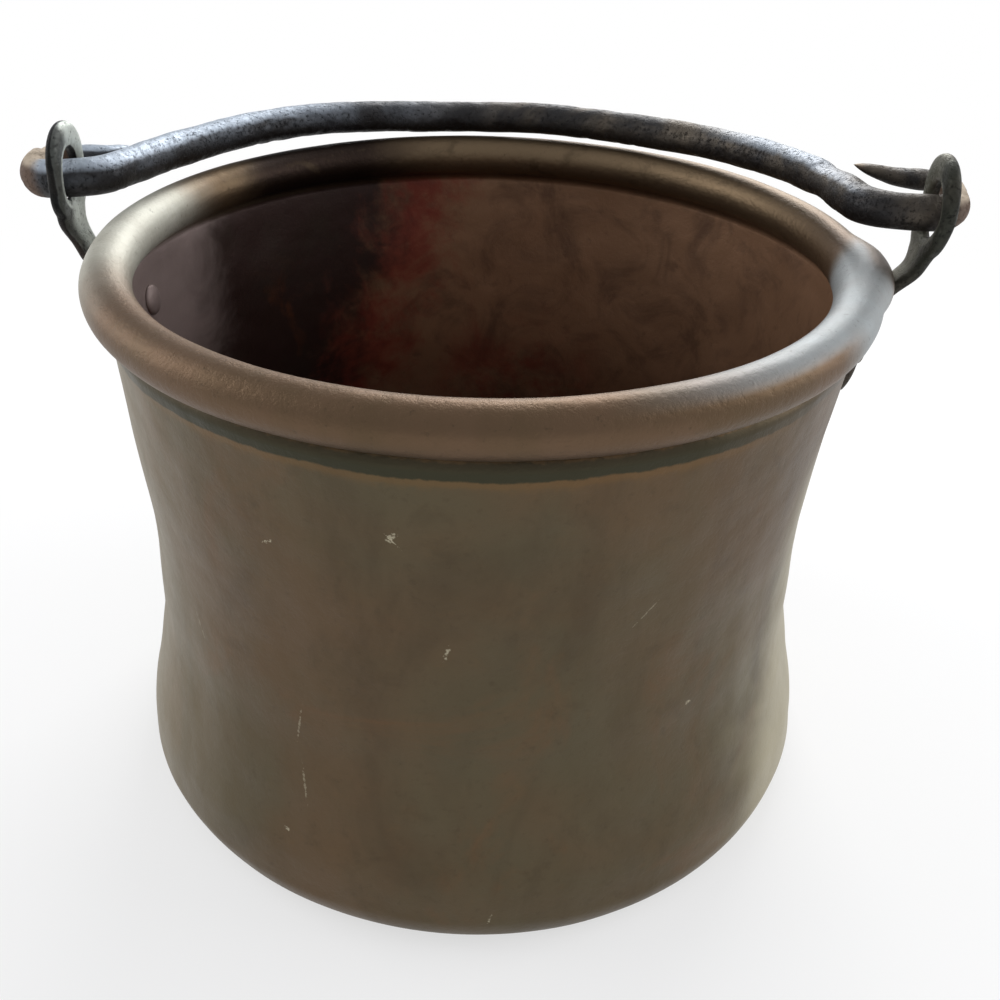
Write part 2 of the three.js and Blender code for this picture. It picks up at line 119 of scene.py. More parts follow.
class Value:
    """A number socket that takes part in Python sums, adding Math nodes as it goes."""

    def __init__(self, tree: "Tree", socket: bpy.types.NodeSocket) -> None:
        """Wraps one output socket of a tree."""
        self.tree = tree
        self.socket = socket

    def _math(self, operation: str, first: object, second: object, clamp: bool = False) -> "Value":
        """Adds one Math node.

        Args:
            operation: the Math node's operation.
            first: the first number or Value.
            second: the second number or Value.
            clamp: keeps the result from 0 to 1.

        Returns:
            The node's result.
        """
        settings = {"operation": operation, "use_clamp": clamp}
        return self.tree.node("ShaderNodeMath", settings, {0: first, 1: second}).value()

    def __add__(self, other: object) -> "Value":
        """self + other."""
        return self._math("ADD", self, other)

    def __radd__(self, other: object) -> "Value":
        """other + self."""
        return self._math("ADD", other, self)

    def __sub__(self, other: object) -> "Value":
        """self - other."""
        return self._math("SUBTRACT", self, other)

    def __rsub__(self, other: object) -> "Value":
        """other - self."""
        return self._math("SUBTRACT", other, self)

    def __mul__(self, other: object) -> "Value":
        """self * other."""
        return self._math("MULTIPLY", self, other)

    def __rmul__(self, other: object) -> "Value":
        """other * self."""
        return self._math("MULTIPLY", other, self)

    def __truediv__(self, other: object) -> "Value":
        """self / other."""
        return self._math("DIVIDE", self, other)

    def __pow__(self, other: object) -> "Value":
        """self ** other."""
        return self._math("POWER", self, other)

    def angle(self, other: object) -> "Value":
        """Gives the angle of the point (other, self), from -pi to pi."""
        return self._math("ARCTAN2", self, other)

    def bounded(self) -> "Value":
        """Keeps the number from 0 to 1."""
        return self._math("ADD", self, 0.0, clamp=True)

    def step(self, low: float, high: float) -> "Value":
        """Rises smoothly from 0 at low to 1 at high, or falls where high is the lower.

        Args:
            low: where the step starts.
            high: where it ends.

        Returns:
            A share from 0 to 1.
        """
        settings = {"interpolation_type": "SMOOTHSTEP"}
        inputs = {"Value": self, "From Min": low, "From Max": high}
        return self.tree.node("ShaderNodeMapRange", settings, inputs).value()


class Made:
    """A node that was just added, with its outputs ready to use."""

    def __init__(self, tree: "Tree", node: bpy.types.Node) -> None:
        """Keeps the node and its tree."""
        self.tree = tree
        self.node = node

    def out(self, name: object = 0) -> bpy.types.NodeSocket:
        """Gives an output socket by name or place."""
        return self.node.outputs[name]

    def value(self, name: object = 0) -> Value:
        """Gives an output as a number for sums."""
        return Value(self.tree, self.node.outputs[name])


class Tree:
    """The nodes of a material or of the world."""

    def __init__(self, owner: bpy.types.Material | bpy.types.World) -> None:
        """Empties the owner's nodes."""
        self.owner = owner
        self.owner.use_nodes = True
        self.tree = self.owner.node_tree
        self.tree.nodes.clear()

    def node(self, kind: str, settings: dict, inputs: dict) -> Made:
        """Adds any node.

        Args:
            kind: the node's type.
            settings: its properties, set first.
            inputs: what each input socket gets, by name or place.

        Returns:
            The new node.
        """
        node = self.tree.nodes.new(kind)
        for key, setting in settings.items():
            setattr(node, key, setting)
        for key, given in inputs.items():
            socket = node.inputs[key]
            if isinstance(given, Value):
                self.tree.links.new(given.socket, socket)
            elif isinstance(given, bpy.types.NodeSocket):
                self.tree.links.new(given, socket)
            elif isinstance(given, tuple) and len(given) == 3 and socket.type == "RGBA":
                socket.default_value = (*given, 1.0)
            else:
                socket.default_value = given
        return Made(self, node)

    def place(self) -> bpy.types.NodeSocket:
        """Gives a point's place on the object, in metres."""
        return self.node("ShaderNodeTexCoord", {}, {}).out("Object")

    def stretched(self, scale: tuple[float, float, float],
                  turn: tuple[float, float, float] = (0, 0, 0)) -> bpy.types.NodeSocket:
        """Gives the place stretched and turned, for marks that run one way.

        Args:
            scale: how much each axis is squeezed.
            turn: turns about each axis, in radians.

        Returns:
            The changed place.
        """
        inputs = {"Vector": self.place(), "Scale": scale, "Rotation": turn}
        return self.node("ShaderNodeMapping", {}, inputs).out()

    def split(self) -> tuple[Value, Value, Value]:
        """Gives X, Y and Z of a point's place."""
        parts = self.node("ShaderNodeSeparateXYZ", {}, {0: self.place()})
        return parts.value("X"), parts.value("Y"), parts.value("Z")

    def facing(self, way: tuple[float, float, float]) -> Value:
        """Gives how far the surface faces a direction of the object, from -1 to 1."""
        normal = self.node("ShaderNodeTexCoord", {}, {}).out("Normal")
        settings = {"operation": "DOT_PRODUCT"}
        return self.node("ShaderNodeVectorMath", settings, {0: normal, 1: way}).value("Value")

    def painted(self, name: str) -> Value:
        """Reads a share that the mesh carries at its points."""
        return self.node("ShaderNodeAttribute", {"attribute_name": name}, {}).value("Fac")

    def cloud(self, scale: float, detail: float = 3.0, rough: float = 0.55, warp: float = 0.0,
              where: bpy.types.NodeSocket | None = None) -> Value:
        """Gives soft noise from 0 to 1.

        Args:
            scale: patches per metre.
            detail: how many finer layers it has.
            rough: how strong those are.
            warp: how much it twists.
            where: another place to read it at.

        Returns:
            The noise.
        """
        inputs = {"Vector": where or self.place(), "Scale": scale, "Detail": detail}
        inputs |= {"Roughness": rough, "Distortion": warp}
        return self.node("ShaderNodeTexNoise", {}, inputs).value("Fac")

    def cells(self, scale: float, blur: float = 0.6,
              where: bpy.types.NodeSocket | None = None) -> Value:
        """Gives the distance to the middle of soft cells, as hammer marks have.

        Args:
            scale: cells per metre.
            blur: how soft their meeting lines are.
            where: another place to read it at.

        Returns:
            The distance.
        """
        settings = {"feature": "SMOOTH_F1"}
        inputs = {"Vector": where or self.place(), "Scale": scale, "Smoothness": blur}
        return self.node("ShaderNodeTexVoronoi", settings, inputs).value("Distance")

    def blend(self, share: object, first: object, second: object) -> bpy.types.NodeSocket:
        """Mixes two colours.

        Args:
            share: how much of the second.
            first: a colour or a socket.
            second: a colour or a socket.

        Returns:
            The mixed colour.
        """
        settings = {"data_type": "RGBA", "clamp_factor": True}
        inputs = {"Factor": share, 6: first, 7: second}
        return self.node("ShaderNodeMix", settings, inputs).out(2)

    def bump(self, height: Value, depth: float,
             under: bpy.types.NodeSocket | None = None) -> bpy.types.NodeSocket:
        """Turns a height into a normal.

        Args:
            height: the height, about 0 to 1.
            depth: how deep 1 is, in metres.
            under: a coarser bump below this one.

        Returns:
            The normal.
        """
        inputs = {"Height": height, "Distance": depth, "Strength": 1.0}
        if under is not None:
            inputs["Normal"] = under
        return self.node("ShaderNodeBump", {}, inputs).out("Normal")

    def surface(self, shader: bpy.types.NodeSocket) -> bpy.types.Material:
        """Ends the material with this shader."""
        self.node("ShaderNodeOutputMaterial", {}, {"Surface": shader})
        return self.owner


# Finishes


@dataclass(frozen=True)
class Mark:
    """A small bare mark on the outside of the wall, about as long as it is wide or a line."""

    turn: float
    height: float
    long: float
    wide: float
    lean: float = 0.0
    strength: float = 0.7


@dataclass(frozen=True)
class TarnishedCopper:
    """Old copper: brown and olive tarnish outside with a painted sheen at the sides, wear and
    painted highlights on the roll, smoke-black and red stains and painted shade inside.
    """

    brown: Colour = srgb(96, 78, 58)
    olive: Colour = srgb(90, 81, 62)
    dark: Colour = srgb(72, 60, 45)
    warm: Colour = srgb(106, 78, 54)
    # Painted sheen: the pale grey-green that the wall's left and right sides are painted with,
    # where light falls on its edges.
    grey_green_sheen: Colour = srgb(148, 140, 116)
    roll_brown: Colour = srgb(104, 83, 64)
    roll_far: Colour = srgb(116, 98, 76)
    # Pale roll colours: wear where the roll is gripped, with a painted highlight, warm-white at the
    # left and bluish at the right.
    worn_highlight_left: Colour = srgb(196, 196, 184)
    worn_highlight_right: Colour = srgb(152, 158, 160)
    # Smoke-black: real stains inside, and also the colour of the painted dark reflection on the
    # far-left roll and the painted shade deep inside.
    soot_and_shade: Colour = srgb(36, 25, 22)
    soot_grey: Colour = srgb(150, 134, 130)
    inner_brown: Colour = srgb(140, 106, 80)
    inner_dark: Colour = srgb(90, 65, 50)
    inner_red: Colour = srgb(130, 42, 32)
    inner_amber: Colour = srgb(92, 50, 26)
    # Dark green for the line under the lip, and also a painted shadow in the gap round the rivet's
    # head.
    under_lip_and_gap_shadow: Colour = srgb(50, 52, 40)
    lip_stain: Colour = srgb(118, 88, 52)
    # Pale bare copper for the small marks, and also a painted sheen along the wall's right edge.
    bare_and_sheen: Colour = srgb(184, 176, 152)
    metallic: float = 0.86
    wall_radius: float = 190 * MM
    marks: tuple[Mark, ...] = (
        Mark(247.5, 0.2329, 0.0034, 0.0010, 0.5),
        Mark(265.7, 0.2509, 0.0040, 0.0018, 0.9),
        Mark(265.9, 0.2490, 0.0052, 0.0006, 2.3),
        Mark(272.4, 0.1869, 0.0052, 0.0013, 1.3),
        Mark(249.3, 0.1247, 0.0130, 0.0007, 1.4, 0.35),
        Mark(250.3, 0.0893, 0.0120, 0.0008, 1.75, 0.35),
        Mark(247.7, 0.0583, 0.0020, 0.0014),
        Mark(311.0, 0.1308, 0.0020, 0.0014),
        Mark(279.0, 0.0260, 0.0034, 0.0010, 1.2),
        Mark(300.5, 0.2000, 0.0090, 0.0005, 0.8, 0.3),
        Mark(228.0, 0.1500, 0.0100, 0.0005, 2.1, 0.3),
    )

    def material(self, name: str) -> bpy.types.Material:
        """Builds the copper.

        Args:
            name: the material's name.

        Returns:
            The material.
        """
        tree = Tree(bpy.data.materials.new(name))
        across, along, up = tree.split()
        inside = tree.painted("inside")
        roll = tree.painted("roll")
        lip = tree.painted("under_lip_and_gap_shadow")
        worn_highlight = self._worn_highlight(tree, across, along)
        outer = self._under_lip(tree, self._outer(tree, across, along, up), lip, along)
        colour = tree.blend(inside, outer, self._inner(tree, across, along, up))
        colour = tree.blend(roll, colour, self._rolled(tree, across, along, worn_highlight))
        wear = tree.cloud(9, 4, 0.6)
        fine = tree.cloud(220, 3, 0.6)
        rough = 0.34 + wear * 0.16 + fine * 0.08 + inside * 0.10 + roll * (0.02 + worn_highlight * 0.06)
        inputs = {
            "Base Color": colour,
            "Metallic": self.metallic - inside * 0.30 - roll * worn_highlight * 0.42,
            "Roughness": rough,
            "Normal": self._dents(tree, inside, roll),
        }
        shader = tree.node("ShaderNodeBsdfPrincipled", {}, inputs)
        return tree.surface(shader.out("BSDF"))

    @staticmethod
    def _worn_highlight(tree: Tree, across: Value, along: Value) -> Value:
        """Gives how pale the roll is at both sides: wear where it is gripped, and a painted
        highlight.
        """
        left = along.angle(across * -1) + (tree.cloud(14, 3, 0.6) - 0.5) * 0.30
        right = along.angle(across) + (tree.cloud(14, 3, 0.6) - 0.5) * 0.10
        reach = (across * across + along * along) ** 0.5
        crease = right - 0.084 - (reach - 0.192) * 6.0
        outer = reach.step(0.1925, 0.1990) * right.step(-0.16, -0.04)
        left_share = left.step(-0.80, -0.16) * left.step(0.42, 0.06)
        # Painted highlight: faces of the roll that look up get more of the pale colour.
        top = tree.facing((0.0, 0.0, 1.0)).step(0.50, 0.92)
        front = right.step(-0.42, -0.62)
        right_share = right.step(-1.25, -0.62) * crease.step(0.04, -0.08) * (1 - outer * 0.8)
        right_share = right_share * (1 - front * (1 - top))
        return (left_share + right_share).bounded()

    def _under_lip(self, tree: Tree, outer: bpy.types.NodeSocket, lip: Value,
                   along: Value) -> bpy.types.NodeSocket:
        """Adds the green line and the ragged ochre stain under the lip.

        Args:
            tree: the material.
            outer: the wall's colour.
            lip: 1 at the lip, less down the wall.
            along: Y.

        Returns:
            The wall's new colour.
        """
        front = (along * -1).step(0.10, 0.17)
        ragged = lip + (tree.cloud(75, 5, 0.7) - 0.5) * 0.45
        stain = ragged.step(0.02, 0.26) * front
        colour = tree.blend(stain * 0.38, outer, self.lip_stain)
        line = ragged.step(0.38, 0.52) * (0.40 + front * 0.5)
        return tree.blend(line, colour, self.under_lip_and_gap_shadow)

    def _outer(self, tree: Tree, across: Value, along: Value, up: Value) -> bpy.types.NodeSocket:
        """Colours the outside of the wall, with a painted sheen at its left and right sides and
        along its right edge.
        """
        broad = tree.cloud(6, 4, 0.6, 0.4).step(0.35, 0.68)
        colour = tree.blend(broad, self.brown, self.olive)
        streaks = tree.cloud(13, 5, 0.62, 0.6, tree.stretched((1, 1, 0.4), (0, 0.6, 0)))
        colour = tree.blend(streaks.step(0.48, 0.74) * 0.6, colour, self.dark)
        stains = tree.cloud(10, 5, 0.65, 1.2)
        colour = tree.blend(stains.step(0.54, 0.76) * 0.55, colour, self.warm)
        blotches = tree.cloud(44, 4, 0.65, 0.5)
        colour = tree.blend(blotches.step(0.54, 0.76) * 0.35, colour, self.dark)
        speckle = tree.cloud(190, 4, 0.7)
        colour = tree.blend(speckle.step(0.54, 0.8) * 0.45, colour, self.dark)
        # Painted sheen on the wall's left side.
        left = (across * -1).step(0.09, 0.20)
        colour = tree.blend(left * 0.6, colour, self.grey_green_sheen)
        # Painted sheen in patches on the wall's right side, low down.
        patches = tree.cloud(17, 3, 0.55, 0.4).step(0.40, 0.62)
        right = across.step(0.12, 0.19) * (0.25 + patches * 0.75) * (1 - up).step(0.74, 0.90)
        colour = tree.blend(right * 0.6, colour, self.grey_green_sheen)
        # Painted sheen: a pale band along the wall's right edge, below the lip.
        edge = across.step(0.160, 0.184) * (0.255 - up).step(0.0, 0.05)
        colour = tree.blend(edge * 0.7, colour, self.bare_and_sheen)
        turn = along.angle(across)
        for mark in self.marks:
            spot = self._mark(tree, turn, up, mark)
            colour = tree.blend(spot * mark.strength, colour, self.bare_and_sheen)
        return colour

    def _mark(self, tree: Tree, turn: Value, up: Value, mark: Mark) -> Value:
        """Gives the share of one small mark on the wall.

        Args:
            tree: the material.
            turn: the angle round the kettle, in radians.
            up: the height.
            mark: the mark.

        Returns:
            1 on the mark and 0 off it.
        """
        start = math.radians(mark.turn if mark.turn < 180 else mark.turn - 360)
        side = (turn - start) * self.wall_radius
        rise = up - mark.height
        straight = side * math.cos(mark.lean) + rise * math.sin(mark.lean)
        square = rise * math.cos(mark.lean) - side * math.sin(mark.lean)
        far = (straight / mark.long) ** 2 + (square / mark.wide) ** 2
        ragged = tree.cloud(520, 3, 0.7).step(0.34, 0.62) * 1.3
        return (far + ragged).step(1.5, 0.6)

    def _rolled(self, tree: Tree, across: Value, along: Value, worn_highlight: Value) -> bpy.types.NodeSocket:
        """Colours the rolled rim: brown, olive at the back, a painted dark reflection at the far
        left, and pale where it has wear and a painted highlight.
        """
        patches = tree.cloud(16, 4, 0.6, 0.5)
        colour = tree.blend(patches.step(0.4, 0.7), self.roll_brown, self.brown)
        colour = tree.blend(along.step(-0.02, 0.10), colour, self.roll_far)
        # Painted dark reflection: the roll at the far left is darkened where it faces the bail's
        # dark underside.
        back = along.angle(across * -1) + (patches - 0.5) * 0.3
        soot_and_dark_reflection = back.step(0.38, 0.66) * back.step(1.30, 0.95)
        colour = tree.blend(soot_and_dark_reflection * 0.95, colour, self.soot_and_shade)
        stains = tree.cloud(52, 4, 0.65, 0.4)
        colour = tree.blend(stains.step(0.56, 0.72) * along.step(0.0, 0.1) * 0.5, colour, self.dark)
        # Pale patches on the roll: partly wear, partly a painted highlight.
        pale = tree.blend(across.step(-0.05, 0.08), self.worn_highlight_left, self.worn_highlight_right)
        rubbed_highlight = (worn_highlight * (0.62 + tree.cloud(38, 4, 0.6) * 0.6)).bounded()
        colour = tree.blend(rubbed_highlight * 0.92, colour, pale)
        pits = tree.cloud(300, 4, 0.75)
        return tree.blend(pits.step(0.58, 0.74) * 0.55, colour, self.dark)

    def _inner(self, tree: Tree, across: Value, along: Value, up: Value) -> bpy.types.NodeSocket:
        """Colours the inside: smoke-blackened at the far left, brown at the right, red between, and
        painted shade deeper down at the back.
        """
        mottle = tree.cloud(24, 5, 0.65, 0.8)
        brown = tree.blend(mottle.step(0.44, 0.72) * 0.75, self.inner_brown, self.inner_dark)
        spots = tree.cloud(58, 4, 0.65, 0.5)
        brown = tree.blend(spots.step(0.58, 0.74) * 0.5, brown, self.inner_dark)
        wander = (tree.cloud(16, 4, 0.65, 0.8) - 0.5) * 0.12
        ragged = (tree.cloud(60, 4, 0.7, 0.6) - 0.5) * 0.05
        edge = across * -1 - 0.068 - (0.2835 - up) * 0.43 + wander + ragged
        soot_and_dark_reflection = edge.step(-0.030, 0.030)
        red_band = edge.step(-0.060, -0.012) * (tree.cloud(26, 4, 0.65) + 0.1).step(0.42, 0.66)
        red = tree.blend(red_band * 0.75, brown, self.inner_red)
        low = ((0.20 - up) + wander).step(0.0, 0.06)
        middle = (0.08 - (across * across) ** 0.5).step(0.0, 0.06)
        glow = low * middle * tree.cloud(30, 4, 0.65).step(0.35, 0.6)
        red = tree.blend(glow * 0.65, red, self.inner_red)
        burnt_and_shaded = tree.blend(soot_and_dark_reflection * 0.95, red, self.soot_and_shade)
        amber = tree.cloud(22, 4, 0.6, 0.6).step(0.52, 0.66) * soot_and_dark_reflection * (0.26 - up).step(0.0, 0.05)
        burnt_and_shaded = tree.blend(amber * 0.6, burnt_and_shaded, self.inner_amber)
        # Painted shade: the far inside wall turns darker deeper down.
        deep = (0.19 - up).step(0.0, 0.10) * along.step(-0.05, 0.10)
        burnt_and_shaded = tree.blend(deep * 0.45, burnt_and_shaded, self.soot_and_shade)
        near_left = (across * -1 + wander * 0.25).step(0.168, 0.191)
        return tree.blend(near_left * 0.85, burnt_and_shaded, self.soot_grey)

    def _dents(self, tree: Tree, inside: Value, roll: Value) -> bpy.types.NodeSocket:
        """Gives hammer marks, fine grain and pits."""
        marks = tree.cells(34, 0.9, tree.stretched((1, 1, 0.6)))
        under = tree.bump(marks * (1 - roll * 0.85), 0.0013)
        swells = tree.cloud(22, 2, 0.5)
        under = tree.bump(swells * (1 - roll * 0.6), 0.0026, under)
        pits = tree.cloud(260, 4, 0.7)
        under = tree.bump(pits.step(0.3, 0.6) * (0.30 + roll * 0.20), 0.00022, under)
        return tree.bump(tree.cloud(900, 2, 0.6), 0.00004, under)


@dataclass(frozen=True)
class ForgedIron:
    """Hammered iron: dark scale, pale on one side from rubbing and a painted highlight, painted
    shade underneath, black pits and rust.
    """

    scale_dark: Colour = srgb(46, 45, 46)
    scale_pale: Colour = srgb(86, 90, 96)
    scale_brown: Colour = srgb(90, 82, 72)
    # Painted highlight, partly rubbed polish: the pale colour for faces that look one way, where
    # and how far it is used.
    rubbed_highlight: Colour = srgb(178, 188, 200)
    highlight_way: tuple[float, float, float] = (0.0, -0.25, 0.97)
    highlight_span: tuple[float, float] = (0.55, 0.88)
    highlight_ends: float = 1.0
    # Painted shade: the dark colour for faces that look away from the light, where and how strongly
    # it is used.
    under: Colour = srgb(40, 35, 32)
    shade_span: tuple[float, float] = (0.42, -0.25)
    shade_share: float = 0.8
    pit: Colour = srgb(18, 17, 17)
    rust: Colour = srgb(96, 76, 62)
    # Painted highlight: rust is this pale on faces that look up.
    rust_top_highlight: Colour = srgb(186, 170, 150)
    rust_share: float = 1.0
    metallic: float = 0.72

    def material(self, name: str) -> bpy.types.Material:
        """Builds the iron.

        Args:
            name: the material's name.

        Returns:
            The material.
        """
        tree = Tree(bpy.data.materials.new(name))
        across, along, _ = tree.split()
        # How lit a face is, from its direction on the object: drives the painted highlight and the
        # painted shade.
        lit = tree.facing(self.highlight_way) + (tree.cloud(150, 4, 0.65) - 0.5) * 0.18
        broad = tree.cloud(24, 4, 0.6, 0.5)
        pale = tree.blend(across.step(-0.10, 0.02), self.scale_pale, self.scale_brown)
        colour = tree.blend(broad.step(0.35, 0.65), self.scale_dark, pale)
        # Painted shade on the faces that look away from the light.
        colour = tree.blend(lit.step(*self.shade_span) * self.shade_share, colour, self.under)
        # Painted highlight: the run at the left end is painted lighter still.
        over = (across * -1).step(0.215, 0.185) * (across * -1).step(0.11, 0.15)
        lit = lit + over * along.step(0.120, 0.030) * 0.30
        left_end = (across * -1).step(0.09, 0.17)
        right_end = across.step(0.11, 0.15) * across.step(0.192, 0.175) * 0.55
        ends = (left_end + right_end + (1 - self.highlight_ends)).bounded()
        speckled = 0.55 + tree.cloud(110, 4, 0.7) * 0.6
        # Painted highlight on the lit faces, partly rubbed polish.
        colour = tree.blend(lit.step(*self.highlight_span) * ends * speckled, colour, self.rubbed_highlight)
        # Painted shade on the outer half of the ear's near limb.
        colour = tree.blend(tree.painted("outer") * 0.85, colour, self.under)
        pits = tree.cloud(430, 5, 0.75)
        colour = tree.blend(pits.step(0.54, 0.70) * 0.7, colour, self.pit)
        rust = tree.painted("rust") * self.rust_share
        ragged = (rust * (0.65 + tree.cloud(120, 4, 0.7) * 0.8)).bounded()
        # Rust, with a painted highlight on its faces that look up.
        rust_with_top_highlight = tree.blend(tree.facing((0.0, 0.0, 1.0)).step(0.45, 0.8), self.rust, self.rust_top_highlight)
        colour = tree.blend(ragged, colour, rust_with_top_highlight)
        rough = 0.42 + broad * 0.16 + pits.step(0.5, 0.7) * 0.25 + ragged * 0.25
        forging = tree.bump(tree.cells(85, 0.8), 0.0009)
        dents = tree.bump(tree.cloud(140, 4, 0.6), 0.0008, forging)
        deep = tree.bump(1 - pits.step(0.5, 0.72), 0.00045, dents)
        grain = tree.bump(tree.cloud(1500, 2, 0.6), 0.00008, deep)
        inputs = {
            "Base Color": colour,
            "Metallic": self.metallic - ragged * 0.5,
            "Roughness": rough.bounded(),
            "Normal": grain,
        }
        shader = tree.node("ShaderNodeBsdfPrincipled", {}, inputs)
        return tree.surface(shader.out("BSDF"))


@dataclass(frozen=True)
class StudioWhite:
    """The floor: pale, with the kettle's shadow on it, and white to the camera."""

    paint: Colour = (0.86, 0.86, 0.86)
    lift: float = 0.62

    def material(self, name: str) -> bpy.types.Material:
        """Builds the floor's paint.

        Args:
            name: the material's name.

        Returns:
            The material.
        """
        tree = Tree(bpy.data.materials.new(name))
        matt = tree.node("ShaderNodeBsdfDiffuse", {}, {"Color": self.paint}).out()
        glow = {"Color": (1.0, 1.0, 1.0), "Strength": 1.0}
        white = tree.node("ShaderNodeEmission", {}, glow).out()
        path = tree.node("ShaderNodeLightPath", {}, {})
        seen = path.value("Is Camera Ray") + path.value("Is Glossy Ray")
        share = (seen + path.value("Is Transmission Ray")).bounded()
        across, along, _ = tree.split()
        far = ((across * across + along * along) ** 0.5).step(0.30, 1.1)
        lifted = share * (self.lift + far * (1 - self.lift))
        mixed = tree.node("ShaderNodeMixShader", {}, {0: lifted, 1: matt, 2: white})
        return tree.surface(mixed.out())


# Mesh tools


def mesh_object(name: str, points: np.ndarray, faces: list[tuple[int, ...]]) -> bpy.types.Object:
    """Makes a smooth-shaded object from points and faces.

    Args:
        name: the object's name.
        points: one row per point.
        faces: point numbers of each face.

    Returns:
        The object, linked to the scene.
    """
    mesh = bpy.data.meshes.new(name)
    mesh.from_pydata(points.tolist(), [], faces)
    mesh.validate()
    mesh.shade_smooth()
    made = bpy.data.objects.new(name, mesh)
    bpy.context.scene.collection.objects.link(made)
    return made


def paint(made: bpy.types.Object, name: str, shares: Iterable[float]) -> None:
    """Stores a share at every point of a mesh, for its material to read."""
    layer = made.data.attributes.new(name, "FLOAT", "POINT")
    layer.data.foreach_set("value", np.fromiter(shares, dtype=np.float32))


def dress(made: bpy.types.Object, material: bpy.types.Material) -> None:
    """Gives an object one material."""
    made.data.materials.clear()
    made.data.materials.append(material)


def skin(rings: np.ndarray, closed: bool = False) -> tuple[np.ndarray, list[tuple[int, ...]]]:
    """Joins rings of points into a closed skin.

    Args:
        rings: an array of ring, point and coordinate.
        closed: joins the last ring to the first, in place of a fan at each end.

    Returns:
        The points, with an end point for each fan last, and the faces.
    """
    count, size, _ = rings.shape
    points = rings.reshape(-1, 3)
    faces: list[tuple[int, ...]] = []
    for ring in range(count if closed else count - 1):
        here = ring * size
        ahead = (ring + 1) % count * size
        for side in range(size):
            beside = (side + 1) % size
            faces.append((here + side, here + beside, ahead + beside, ahead + side))
    if closed:
        return points, faces
    first_end = len(points)
    points = np.vstack([points, rings[0].mean(axis=0), rings[-1].mean(axis=0)])
    last = (count - 1) * size
    for side in range(size):
        beside = (side + 1) % size
        faces.append((first_end, beside, side))
        faces.append((first_end + 1, last + side, last + beside))
    return points, faces


def section(centre: Vector, wide: Vector, tall: Vector, width: float, height: float,
            squareness: float, sides: int, chamfer: float = 0.0) -> np.ndarray:
    """One cross-section of a forged bar.

    Args:
        centre: the middle of the bar.
        wide: the direction of its width.
        tall: the direction of its height.
        width: its width.
        height: its height.
        squareness: 2 for an oval, higher for a squarer bar.
        sides: how many points it has.
        chamfer: how much of the corners is hammered flat, from 0 to 1.

    Returns:
        The points of the ring.
    """
    ring = []
    for side in range(sides):
        turn = side / sides * 2 * math.pi
        across = abs(math.cos(turn))
        up = abs(math.sin(turn))
        reach = (across ** squareness + up ** squareness) ** (-1 / squareness)
        if chamfer > 0:
            flat = 1.36 / (across + up)
            cut = (reach ** -9 + flat ** -9) ** (-1 / 9)
            reach = mix(reach, cut, chamfer)
        place = centre + wide * (math.cos(turn) * reach * width / 2)
        place = place + tall * (math.sin(turn) * reach * height / 2)
        ring.append(place)
    return np.array(ring)


def resample(line: Sequence[Vector], spacing: float) -> list[Vector]:
    """Spreads points evenly along a line.

    Args:
        line: the line's points.
        spacing: the distance that they should have.

    Returns:
        The new points.
    """
    places = np.array(line)
    steps = np.linalg.norm(np.diff(places, axis=0), axis=1)
    run = np.concatenate([[0.0], np.cumsum(steps)])
    count = max(int(run[-1] / spacing), 2)
    wanted = np.linspace(0, run[-1], count + 1)
    columns = [np.interp(wanted, run, places[:, axis]) for axis in range(3)]
    return [Vector(place) for place in np.stack(columns, axis=1)]


def soften(line: list[Vector], rounds: int) -> list[Vector]:
    """Eases the kinks out of a line, keeping its ends.

    Args:
        line: the line's points.
        rounds: how often each point moves towards its neighbours.

    Returns:
        The eased points.
    """
    places = np.array(line)
    for _ in range(rounds):
        places[1:-1] = places[1:-1] * 0.5 + (places[:-2] + places[2:]) * 0.25
    return [Vector(place) for place in places]


def ripple(place: Vector, scale: float, seed: float) -> float:
    """Reads smooth noise, about -1 to 1, at a place.

    Args:
        place: the place.
        scale: ripples per metre.
        seed: shifts the noise, so that pieces differ.

    Returns:
        The noise.
    """
    return noise.noise(place * scale + Vector((seed, seed * 1.7, seed * 0.6)))


# Sub-assemblies


